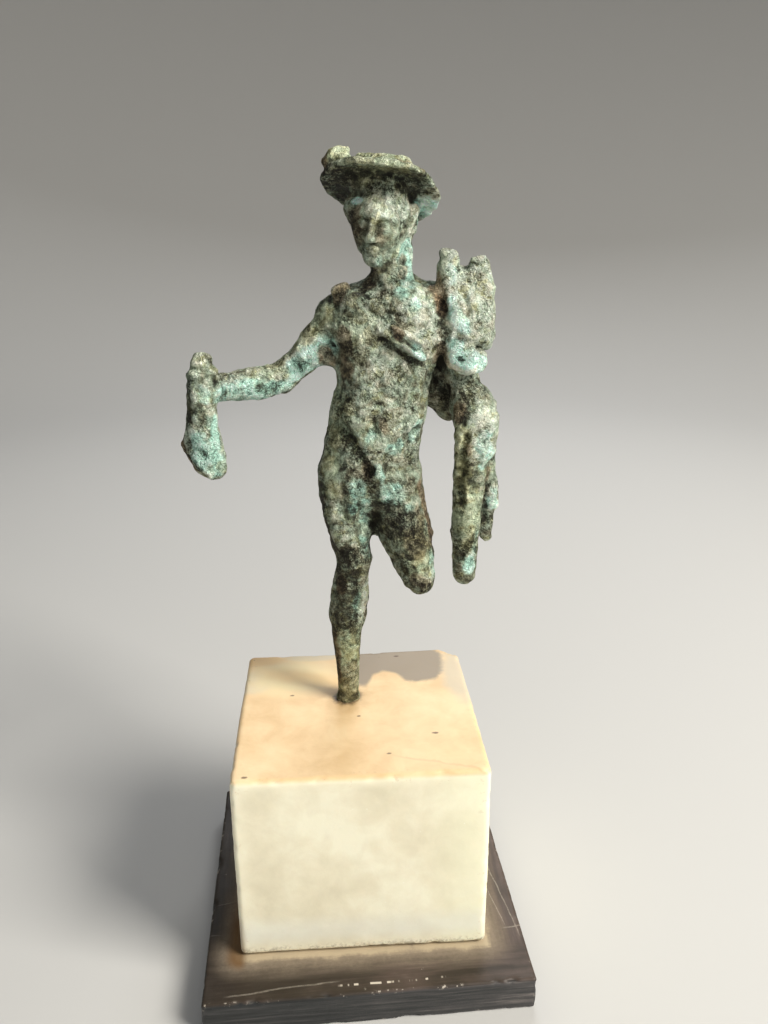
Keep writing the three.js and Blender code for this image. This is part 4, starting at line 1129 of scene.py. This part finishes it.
earth = areas(
    # Head and hat
    (0.7, 1.5, (2.4, -3.4, 89.6), (2.6, -3, 87.0)), (0.6, 0.8, (6.4, -5.8, 86.8), (6.6, -5.8, 85.6)),
    (0.9, 1.0, (-2.2, -3, 98.0), (-1.8, -3.4, 96.6)), (0.6, 0.8, (12.6, -6.2, 96.0), (9.8, -7.4, 97.0)),
    # Neck
    (0.7, 0.7, (10.6, -2.3, 82.6), (10.2, -2.8, 80.0)), (0.7, 1.4, (5.0, -2, 80.6), (4.6, -2, 79.0)),
    # Right arm and purse
    (1.0, 1.1, (-26.8, -6, 53.4), (-26.4, -6, 51.6), (-25.2, -6.6, 49.8)),
    # Bunch on the left shoulder
    (1.0, 1.5, (15.9, -2.4, 78.6), (16.5, -2.8, 76.2), (16.7, -3, 74.8)),
    (0.8, 1.3, (16.8, -3, 67.8), (17.0, -3, 66.0)), (0.7, 1.1, (18.4, -3, 64.0), (18.0, -2, 62.0)),
    # Left forearm and hanging ends
    (1.0, 1.2, (19.8, -3.4, 58.0), (19.9, -3.6, 56.4)),
    (0.9, 0.8, (21.4, -4.4, 51.2), (21.3, -4.4, 49.8)),
    (0.8, 0.9, (26.6, -1, 46.0), (26.0, -1, 42.6), (25.5, -1, 40.2)),
    # Chest, strap and waist
    (0.95, 0.9, (8.7, -6.4, 71.6), (9.5, -6.2, 71.0)), (0.8, 1.3, (-0.2, -3.4, 66.4), (0.6, -4, 64.2)),
    (0.95, 1.4, (-2.9, -2.0, 67.2), (-2.2, -1.8, 65.9)), (0.7, 1.3, (0.6, -3.6, 70.8), (0.8, -3.6, 67.8)),
    (0.8, 1.4, (0.4, -2.4, 78.0), (0.0, -2.6, 76.8)),
    # Belly and hips
    (0.7, 0.8, (6.6, -6, 56.2), (7.3, -6, 53.8)), (0.8, 1.1, (3.6, -5.4, 48.6), (4.0, -5.4, 46.6)),
    # Left thigh and stump
    (1.0, 1.5, (14.3, -2.5, 43.4), (14.7, -2.5, 40.0), (15.2, -3, 36.0), (15.6, -3, 33)),
    (0.6, 2.4, (12.6, -6.2, 38), (12.8, -6.8, 33.6)), (0.6, 1.2, (12.6, -7, 27.4), (14.0, -7, 26.6)),
    # Right thigh and knee
    (0.7, 1.5, (-2.8, -1.6, 41.0), (-2.4, -1.6, 36.0), (-1.4, -2, 33)),
    # Right lower leg and ankle
    (0.9, 1.1, (-1.2, -3, 25.8), (-1.4, -3, 24.2)), (0.9, 1.0, (-2.0, -0.8, 14.0), (-1.8, -0.8, 4.0)),
    (0.45, 1.8, (0.8, -2, 7.0), (0.6, -2, 2.6)), (0.5, 1.4, (-1.4, -1.6, 0.8), (1.4, -1.8, 0.8)),
    # Behind
    (0.5, 2.4, (17.4, 2, 61.5), (18.4, 2, 57.5)), (0.4, 4, (10, 6, 55)), (0.4, 3, (8, 5, 90)),
)
lower_leg = 1 - smooth(points[:, 2], 12, 18)
olive = np.maximum(lower_leg, areas(
    # Head and hat
    (0.9, 6, (6.1, -8, 98)), (1.0, 2.4, (-0.2, -3, 99)),
    # Right arm and purse
    (0.9, 2.6, (-6.4, -0.4, 69.6), (-2.6, -0.6, 73.6)), (0.5, 1.6, (-24.4, -7, 66.6)),
    (0.6, 1.6, (-12.4, -1.6, 64.6), (-9.4, 0, 65.0)),
    # Bunch on the left shoulder
    (0.7, 1.0, (16.8, -2.6, 83), (16.7, -2.6, 80)),
    # Left forearm and hanging ends
    (1.0, 1.7, (20.4, -3.6, 53.6), (20.6, -3.4, 47.0), (20.8, -3, 36)),
    (0.9, 2.0, (22.6, -3.4, 42), (22.4, -3.2, 33)), (0.8, 1.8, (23.2, -3.4, 38.8), (22.6, -3.2, 34.4)),
    # Chest, strap and waist
    (0.5, 4, (2, -5, 71)),
    # Belly and hips
    (0.8, 3.2, (-1.4, -3, 58.0), (-1.2, -3, 54.6)), (1.0, 2.0, (-2.6, -3, 50.0), (-2.4, -3, 44.0)),
    (0.6, 2.2, (4.8, -6, 54.4)),
    # Left thigh and stump
    (0.9, 3.4, (12.8, -6.5, 35.4), (13.6, -7, 31.6)),
))
# Painted shade under the hat's brim: the brow, the hair and the flap beneath it are darkened.
under = (points - HAT_PLACE) @ np.array(Euler(np.radians(HAT_TILT)).to_matrix())
painted_brim_shade = smooth(-under[:, 2] - 0.06 * np.maximum(-under[:, 1] - 3.5, 0) ** 2, 0.1, 0.9)
painted_brim_shade = painted_brim_shade * smooth(under[:, 2], -3.6, -2.0) * smooth(np.hypot(*under[:, :2].T), 3.5, 5.2)
painted_brim_shade = painted_brim_shade * (1 - smooth(under[:, 0] + 0.25 * under[:, 1], 5.6, 6.9))
# Dark patches: dark patina, and painted shade on the sides turned from the light, such as the left flank, hip
# and thighs and the left of the neck and cheek, and in the recesses between folds.
dark_patina_and_shade = np.maximum(painted_brim_shade, areas(
    # Head and hat
    (0.7, 1.4, (2.4, -3, 88.8), (3.4, -3, 85.0)), (0.5, 0.7, (9.6, -4.4, 86.6), (9.2, -4.6, 85.0)),
    # Neck
    (0.9, 1.6, (4.2, -2, 80.4), (4.0, -2, 78.8)),
    # Right arm and purse
    (0.7, 1.0, (-14.0, -3.9, 61.9), (-11.4, -2.9, 61.5)), (0.4, 0.9, (-12.4, -3.4, 63.8)),
    (0.8, 1.1, (-7.5, -1.7, 66.0), (-6.6, -1.7, 65.4)), (1.0, 0.8, (-20.5, -7, 63.6)),
    (0.8, 0.9, (-24.8, -7.4, 64.6), (-25.1, -7, 61.0), (-25.3, -7, 57.0)),
    (0.6, 0.7, (-23.6, -8.5, 60.0), (-22.8, -8.5, 57.4)),
    (0.9, 0.8, (-25.4, -7.6, 51.2), (-24.2, -8, 49.2)), (0.5, 0.8, (-22.7, -9, 52.0)),
    (0.6, 0.8, (-22.0, -8.4, 66.0)),
    # Bunch on the left shoulder
    (0.55, 0.9, (17.0, -3.4, 75.0), (17.4, -4, 72.6), (17.5, -4, 70.8)),
    (0.8, 0.9, (16.9, -0.6, 65.1), (17.5, -0.2, 62.9)), (0.4, 0.7, (18.6, -4.5, 69.0)),
    (0.9, 0.35, (19.4, -4.7, 66.8), (20.3, -4.8, 66.2)), (0.4, 0.8, (20.1, -5, 74.2)),
    (0.4, 0.8, (23.5, -2.5, 80.2)), (0.4, 0.8, (22.5, -4.4, 74.6)), (0.4, 0.7, (19.6, -2.8, 81.0)),
    # Left forearm and hanging ends
    (1.0, 0.8, (20.9, -1.8, 60.4), (21.1, -3.6, 57.4), (20.9, -3.8, 55.4)),
    (0.5, 0.7, (20.9, -3.8, 50.2), (20.7, -3, 43.2), (21.3, -3.1, 39.0)),
    (0.7, 0.9, (22.2, -4.2, 47.4), (22.0, -4, 44.4)),
    (0.7, 0.7, (22.6, -2.8, 32.4), (21.6, -2.6, 30.6), (21.0, -2.4, 29.2)),
    (0.6, 0.9, (23.1, -2.4, 25.1)), (0.9, 0.7, (25.6, -0.3, 39.2), (25.5, 0.9, 35.0)),
    (0.8, 0.6, (26.2, 1.0, 33.3)),
    # Chest, strap and waist
    (0.9, 1.2, (0.9, -4, 68.6), (0.7, -4, 65.4)), (0.6, 0.6, (-1.6, -2.4, 69.8), (-1.8, -2.4, 68.8)),
    (0.6, 1.2, (0.4, -4, 63.6), (0.2, -4, 60.4), (0.6, -4, 57.0)),
    (0.9, 0.5, (6.4, -5.5, 70.1), (8.8, -5.6, 68.4), (11.4, -5.0, 66.6), (13.6, -4.0, 65.4)),
    (1.2, 0.5, (8.6, -6.3, 70.6), (10.6, -6.3, 69.6), (12.2, -6.1, 68.6)),
    (0.5, 1.5, (6.8, -5.8, 75.0), (8.8, -5.8, 73.0)), (0.6, 0.7, (0.8, -4, 74.4), (3.4, -5, 74.8)),
    (0.5, 0.7, (9.4, -5.4, 76.2), (11.8, -5, 77.6)), (1.0, 1.1, (2.2, -3.4, 77.6), (4.0, -4, 77.0)),
    (0.3, 2.2, (10.4, -4.8, 63.2), (10.9, -4.8, 60.6)),
    # Belly and hips
    (1.0, 1.5, (0.0, -4.8, 55.4), (0.4, -5, 53.6), (1.2, -5, 52.2)),
    (1.0, 1.0, (2.2, -4.7, 50.8), (3.2, -5.4, 49.4), (4.4, -5.6, 47.4), (4.2, -5.4, 45.8)),
    (0.8, 0.8, (-0.2, -4.4, 48.6), (0.2, -4.8, 46.0), (0.4, -5.0, 43.6)),
    (0.6, 1.4, (-3.8, 0.4, 50), (-3.8, 0.4, 46)),
    # Left thigh and stump
    (0.75, 1.5, (5.9, -3.5, 41.0), (6.1, -3.5, 37.6), (6.2, -3.0, 35.4)),
    (0.8, 2.3, (8.2, -5.5, 39.4), (8.6, -5.5, 36.2)), (0.6, 1.0, (9.8, -6, 41.4), (9.6, -6, 40.0)),
    (1.0, 0.9, (12.2, -6.6, 26.6), (14.4, -6.4, 25.4)),
    (0.6, 2.0, (10.8, -6.4, 38.4), (12.2, -6.7, 34.6)), (0.6, 1.4, (10.2, -6, 33.0), (11.2, -6.5, 29.6)),
    (0.5, 1.1, (15.2, -3, 39), (15.6, -3, 33)),
    # Right thigh and knee
    (0.7, 0.9, (5.2, -5, 44.0), (5.6, -4.6, 41.4)), (1.0, 1.0, (0.7, -5.2, 41.2), (1.3, -5.4, 38.4)),
    (1.0, 1.5, (-3.8, -1.6, 43.4), (-3.4, -1.8, 37.0), (-2.2, -2, 32.5)),
    (1.0, 2.6, (0.2, -3.8, 31.2), (0.0, -3.6, 27.6)),
    # Right lower leg and ankle
    (0.9, 1.6, (-1.2, -3, 27.0), (-0.6, -3, 23.0), (-0.6, -3, 20.0), (-0.4, -2.6, 17.0)),
    (0.8, 1.1, (1.4, -3.2, 25.6), (1.2, -3, 21.0), (0.8, -2.8, 16.6)),
    (0.8, 1.0, (-2.4, -0.6, 16.0), (-2.2, -0.4, 11.0), (-2.0, -0.4, 5.0)),
    (0.55, 0.8, (-2.0, -1.2, 0.6), (0, -2.2, 0.3), (2.0, -1.0, 0.6)),
))
# Pale areas: pale crust, and painted light where lit edges and faces are lightened, such as the right edges
# of the jaw and neck, the top of the arm, the heap of folds, the forehead and the hat's flap in the brim's
# shade.
pale = areas(
    # Head and hat
    (1.2, 1.2, (12.2, -1.6, 88.6), (12.0, -1.6, 82)), (0.6, 5, (6, -8, 98)),
    (1.35, 2.4, (6.8, -6.2, 91.2), (8.6, -5.8, 91.4), (10.8, -4.6, 90.6)), (1.0, 1.6, (0.2, -4, 99)),
    (2.4, 0.7, (3.0, -4.2, 91.9), (2.9, -2.2, 91.2)), (2.0, 3.4, (14.8, 2, 92.0)),
    # Neck
    (0.7, 1.5, (10.8, -3, 84), (10.8, -3, 79)),
    # Right arm and purse
    (1.8, 2.8, (-7, -2, 65.4), (-4.4, -2, 67.6)), (1.15, 2.8, (-19, -6, 62), (-9, -2, 61.8)),
    (0.9, 3.4, (-22.6, -8, 60), (-22.8, -8, 51)), (1.1, 1.6, (-23, -8, 66.8)),
    (0.9, 1.0, (-21.0, -8, 57.5), (-20.7, -8, 54)),
    # Bunch on the left shoulder
    (1.35, 6.0, (21, -3, 79), (22, -3, 72)), (1.9, 3.4, (20, -4, 68), (21.6, -4, 66)),
    (2.0, 2.0, (18.6, -3, 81), (19.2, -4, 72)),
    (0.9, 1.5, (15.4, -3, 78), (15.9, -3.6, 70), (15.6, -3.2, 64.6)),
    # Left forearm and hanging ends
    (1.8, 1.4, (27.4, 0, 41.4), (27.6, 0, 38.4)), (1.6, 2.8, (24.6, -3, 55.8), (23.8, -3.6, 50.5)),
    (0.9, 1.7, (23.0, -4, 41.8), (22.6, -4, 34.6)), (1.3, 1.0, (20.6, -3.6, 53), (20.2, -3.4, 46)),
    (1.5, 1.6, (23.0, -3.6, 29.4), (22.8, -3.6, 27.0)),
    # Chest, strap and waist
    (1.6, 3.0, (12.2, -5, 75.0), (13.8, -5, 69.6)), (0.9, 5, (6.5, -6, 71), (6.8, -6, 66)),
    (0.5, 6, (6.2, -6, 60), (6.2, -6, 55)), (1.5, 0.5, (7.5, -5.7, 59.8), (8.2, -5.6, 59.6)),
    (0.5, 2.4, (3.4, -6, 70.4), (3.2, -6, 66.4)),
    # Belly and hips
    (0.6, 2.0, (12.4, -4.6, 55.8), (12.6, -4.6, 53.0)), (0.6, 2.2, (4.6, -6.4, 53.8)),
    (0.6, 0.9, (6.3, -6.2, 47.8), (6.8, -6, 45.6)), (0.8, 1.7, (-2.2, -3, 48.0), (-1.9, -3.4, 44.6)),
    (0.5, 1.4, (-2.6, -3, 48.8), (-2.4, -3, 46.4)),
    # Left thigh and stump
    (0.8, 1.0, (11.4, -6, 40.8), (11.2, -6, 37.8)),
    (0.8, 1.5, (12.8, -7.4, 30.4), (15.0, -6.4, 30.6), (15.8, -5.4, 28.4)),
    (0.7, 0.6, (13.4, -6, 24.2), (15, -5.6, 24.6)), (1.0, 1.4, (13.4, -6.6, 27.8), (15.2, -5.6, 27.4)),
    (0.9, 1.3, (7.6, -5.1, 43.5), (9.4, -5.0, 43.1)),
    # Right thigh and knee
    (0.7, 1.2, (1.4, -5, 33.2), (2.4, -4.6, 29.2)), (0.9, 0.8, (-1.6, -4.1, 42.3), (-1.2, -4.6, 38.9)),
    (0.9, 1.0, (-0.9, -4.0, 37.0), (0.6, -4.8, 35.2), (1.6, -4.8, 33.4)),
    (0.7, 1.2, (2.4, -5.5, 44.8), (2.6, -5.5, 42.0)),
    # Right lower leg and ankle
    (2.2, 1.0, (4.0, -1.2, 26.0), (3.8, -1.4, 21.5), (3.0, -2, 18.4)),
    (0.4, 2.4, (0, -2, 10), (0, -2, 3)), (1.3, 0.5, (-1.6, -1.6, 0.8), (-0.2, -2.2, 0.4)),
)

FACE = (5.9, -5.6, 87.2)
on_face = 1 - smooth(np.linalg.norm(points - FACE, axis=1), 3.2, 5.4)
crust_and_painted_light = pale * np.clip(1 - dark_patina_and_shade, 0, 1) * (1 - 0.7 * earth)
standing = points * UNIT + (*ANKLE, BLOCK_SIZE[2] + BED)
# The proud mark holds the relief. It is raised by the pale crust and painted light and lowered by the dark
# patina and painted shade.
figure = mesh_piece(
    "bronze_figure", on_block(standing), quads,
    proud=proud + 0.16 * crust_and_painted_light - 0.30 * dark_patina_and_shade - 0.05 * (1 - smooth(points[:, 2], 36, 48)),
    mint=mint,
    earth=earth,
    olive=olive,
    grain=1 - 0.15 * olive - 0.2 * lower_leg - 0.45 * on_face,
    lift=np.clip(crust_and_painted_light / 2, 0, 1),
)

bronze = Finish("bronze")
proud, mint, earth, olive = [bronze.mark(name) for name in ("proud", "mint", "earth", "olive")]
lumps = bronze.noise(0.0010, 3, 0.5)
grit = bronze.noise(0.0011, 6, 0.74, place=bronze.seen_from((0.03, 0.02, 0.01)))
crumb = bronze.cells(0.00052, bronze.shaken(0.0010, 0.0009))
sand = bronze.noise(0.00018, 2, 0.7)
blot = bronze.noise(0.0030, 3, 0.6, 0.6)
flake = bronze.noise(0.0017, 3, 0.6)
plate = bronze.noise(0.0015, 4, 0.62, 0.8).step(0.485, 0.525)
wrinkle = (bronze.noise(0.0008, 3, 0.6, 1.6) - 0.5).size().step(0.07, 0.0)
crease = (bronze.noise(0.0019, 3, 0.6, 1.1) - 0.5).size().step(0.07, 0.0)
rough = bronze.mark("grain") * (bronze.noise(0.0042, 2, 0.5).step(0.36, 0.64) * 0.6 + 0.5)
tone = (lumps - 0.5) * 0.8 + (grit - 0.5) * 1.05 + (plate - 0.5) * 0.17 + (0.42 - crumb) * 0.44
tone = tone + (sand - 0.5) * 0.95 + (wrinkle - 0.35) * 0.3 + (crease - 0.35) * 0.18
tone = proud + 0.105 + tone * rough + (blot - 0.5) * 0.36 + (flake - 0.5) * 0.36
bare = bronze.ramp(
    tone,
    (0.10, (0.017, 0.016, 0.009)), (0.30, (0.066, 0.067, 0.040)), (0.46, (0.168, 0.178, 0.112)),
    (0.62, (0.33, 0.352, 0.243)), (0.82, (0.57, 0.605, 0.46)), (1.0, (0.72, 0.74, 0.60)),
)
salts = bronze.ramp(
    tone,
    (0.10, (0.018, 0.026, 0.020)), (0.30, (0.075, 0.120, 0.092)), (0.46, (0.19, 0.32, 0.26)),
    (0.60, (0.35, 0.60, 0.48)), (0.80, (0.53, 0.81, 0.67)), (1.0, (0.70, 0.90, 0.79)),
)
soil = bronze.ramp(
    tone,
    (0.10, (0.016, 0.010, 0.005)), (0.32, (0.060, 0.038, 0.018)), (0.55, (0.17, 0.11, 0.055)),
    (0.80, (0.40, 0.28, 0.16)), (0.97, (0.62, 0.50, 0.34)),
)
green = bronze.ramp(
    tone,
    (0.10, (0.016, 0.016, 0.007)), (0.32, (0.080, 0.080, 0.032)), (0.5, (0.21, 0.21, 0.095)),
    (0.68, (0.42, 0.42, 0.22)), (0.92, (0.74, 0.74, 0.46)),
)
tinge = blot.step(0.40, 0.62)
buff = flake.step(0.50, 0.62) * 0.26 * (1 - olive)
colour = bronze.mix(buff, bare, soil)
colour = bronze.mix((olive * 0.85).most(flake.step(0.47, 0.36) * 0.75), colour, green)
colour = bronze.mix((mint * (tinge * 0.5 + 0.6) + tinge * 0.28).least(1.0), colour, salts)
colour = bronze.mix(earth * (tinge * 0.3 + 0.65), colour, soil)
# The lift mark brightens the colour of the pale areas: pale crust, and painted light.
colour = bronze.mix(bronze.mark("lift"), colour, (1.37, 1.39, 1.46), "MULTIPLY")
relief = (lumps + plate * 0.16 + (1 - crumb) * 0.35 + wrinkle * 0.2 + crease * 0.3) * rough
bronze.wear(
    figure,
    Base_Color=colour,
    Roughness=0.9 - tone.step(0.35, 0.05) * 0.25,
    Metallic=tone.step(0.3, 0.1) * 0.3,
    Normal=bronze.bump(relief, 0.0014, 1.0),
    Specular_IOR_Level=0.35,
)
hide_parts("figure")
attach(figure, "root")

# Studio
# A plain pale floor that curves up all round, one large soft light high on the right, a weak one in front
# and one behind, and the camera where the photograph was taken: close in front and looking down.
FLOOR = 1.5
FLOOR_LINES = 81
LEVEL_FLOOR = 0.45
spread = np.linspace(-FLOOR, FLOOR, FLOOR_LINES)
floor_x, floor_y = np.meshgrid(spread, spread, indexing="ij")
rise = 1.5 * np.maximum(np.hypot(floor_x, floor_y) - LEVEL_FLOOR, 0) ** 2
number = np.arange(FLOOR_LINES ** 2).reshape(FLOOR_LINES, FLOOR_LINES)
quads = np.stack((number[:-1, :-1], number[1:, :-1], number[1:, 1:], number[:-1, 1:]), -1).reshape(-1, 4)
floor = mesh_piece("floor", np.stack((floor_x, floor_y, rise), -1).reshape(-1, 3), quads)
paper = Finish("paper")
paper.wear(floor, Base_Color=(0.56, 0.555, 0.54), Roughness=0.9)

CENTRE = Vector((0, 0, 0.07))


def soft_light(name, place, size, power, colour):
    """A square area light that faces the middle of the object."""
    light = bpy.data.lights.new(name, "AREA")
    light.shape, light.size, light.energy, light.color = "SQUARE", size, power, colour
    lamp = bpy.data.objects.new(name, light)
    lamp.location = place
    lamp.rotation_euler = (Vector(place) - CENTRE).to_track_quat("Z", "Y").to_euler()
    bpy.context.collection.objects.link(lamp)


soft_light("key", (0.41, -0.27, 0.46), 0.27, 6.2, (1.0, 0.96, 0.88))
soft_light("fill", (-0.10, -0.50, 0.16), 0.30, 0.38, (0.92, 0.95, 1.0))
soft_light("back", (0.10, 0.42, 0.42), 0.25, 1.2, (0.95, 0.97, 1.0))
world = bpy.data.worlds.new("studio")
world.use_nodes = True
world.node_tree.nodes["Background"].inputs["Color"].default_value = (0.80, 0.82, 0.85, 1)
world.node_tree.nodes["Background"].inputs["Strength"].default_value = 0.16
bpy.context.scene.world = world
bpy.context.scene.view_settings.view_transform = "Standard"

CAMERA_PLACE = (-0.00727, -0.1348, 0.12708)
FOCAL_LENGTH_PIXELS = 869.39
PICTURE_HEIGHT_PIXELS = 1024
SENSOR_MILLIMETRES = 36
azimuth, elevation, roll = [math.radians(degrees) for degrees in (-5.172, 19.409, 0.3075)]
right = np.array((math.cos(azimuth), math.sin(azimuth), 0))
level = np.array((-math.sin(azimuth), math.cos(azimuth), 0))
ahead = level * math.cos(elevation) - np.array((0, 0, math.sin(elevation)))
down = np.cross(ahead, right)
across = math.cos(roll) * right + math.sin(roll) * down
below = math.cos(roll) * down - math.sin(roll) * right
lens = bpy.data.cameras.new("camera")
lens.sensor_width = SENSOR_MILLIMETRES
lens.lens = FOCAL_LENGTH_PIXELS / PICTURE_HEIGHT_PIXELS * SENSOR_MILLIMETRES
lens.clip_start = 0.01
camera = bpy.data.objects.new("camera", lens)
axes = Matrix(np.stack((across, -below, -ahead), 1).tolist())
camera.matrix_world = Matrix.Translation(CAMERA_PLACE) @ axes.to_4x4()
bpy.context.collection.objects.link(camera)
bpy.context.scene.camera = camera
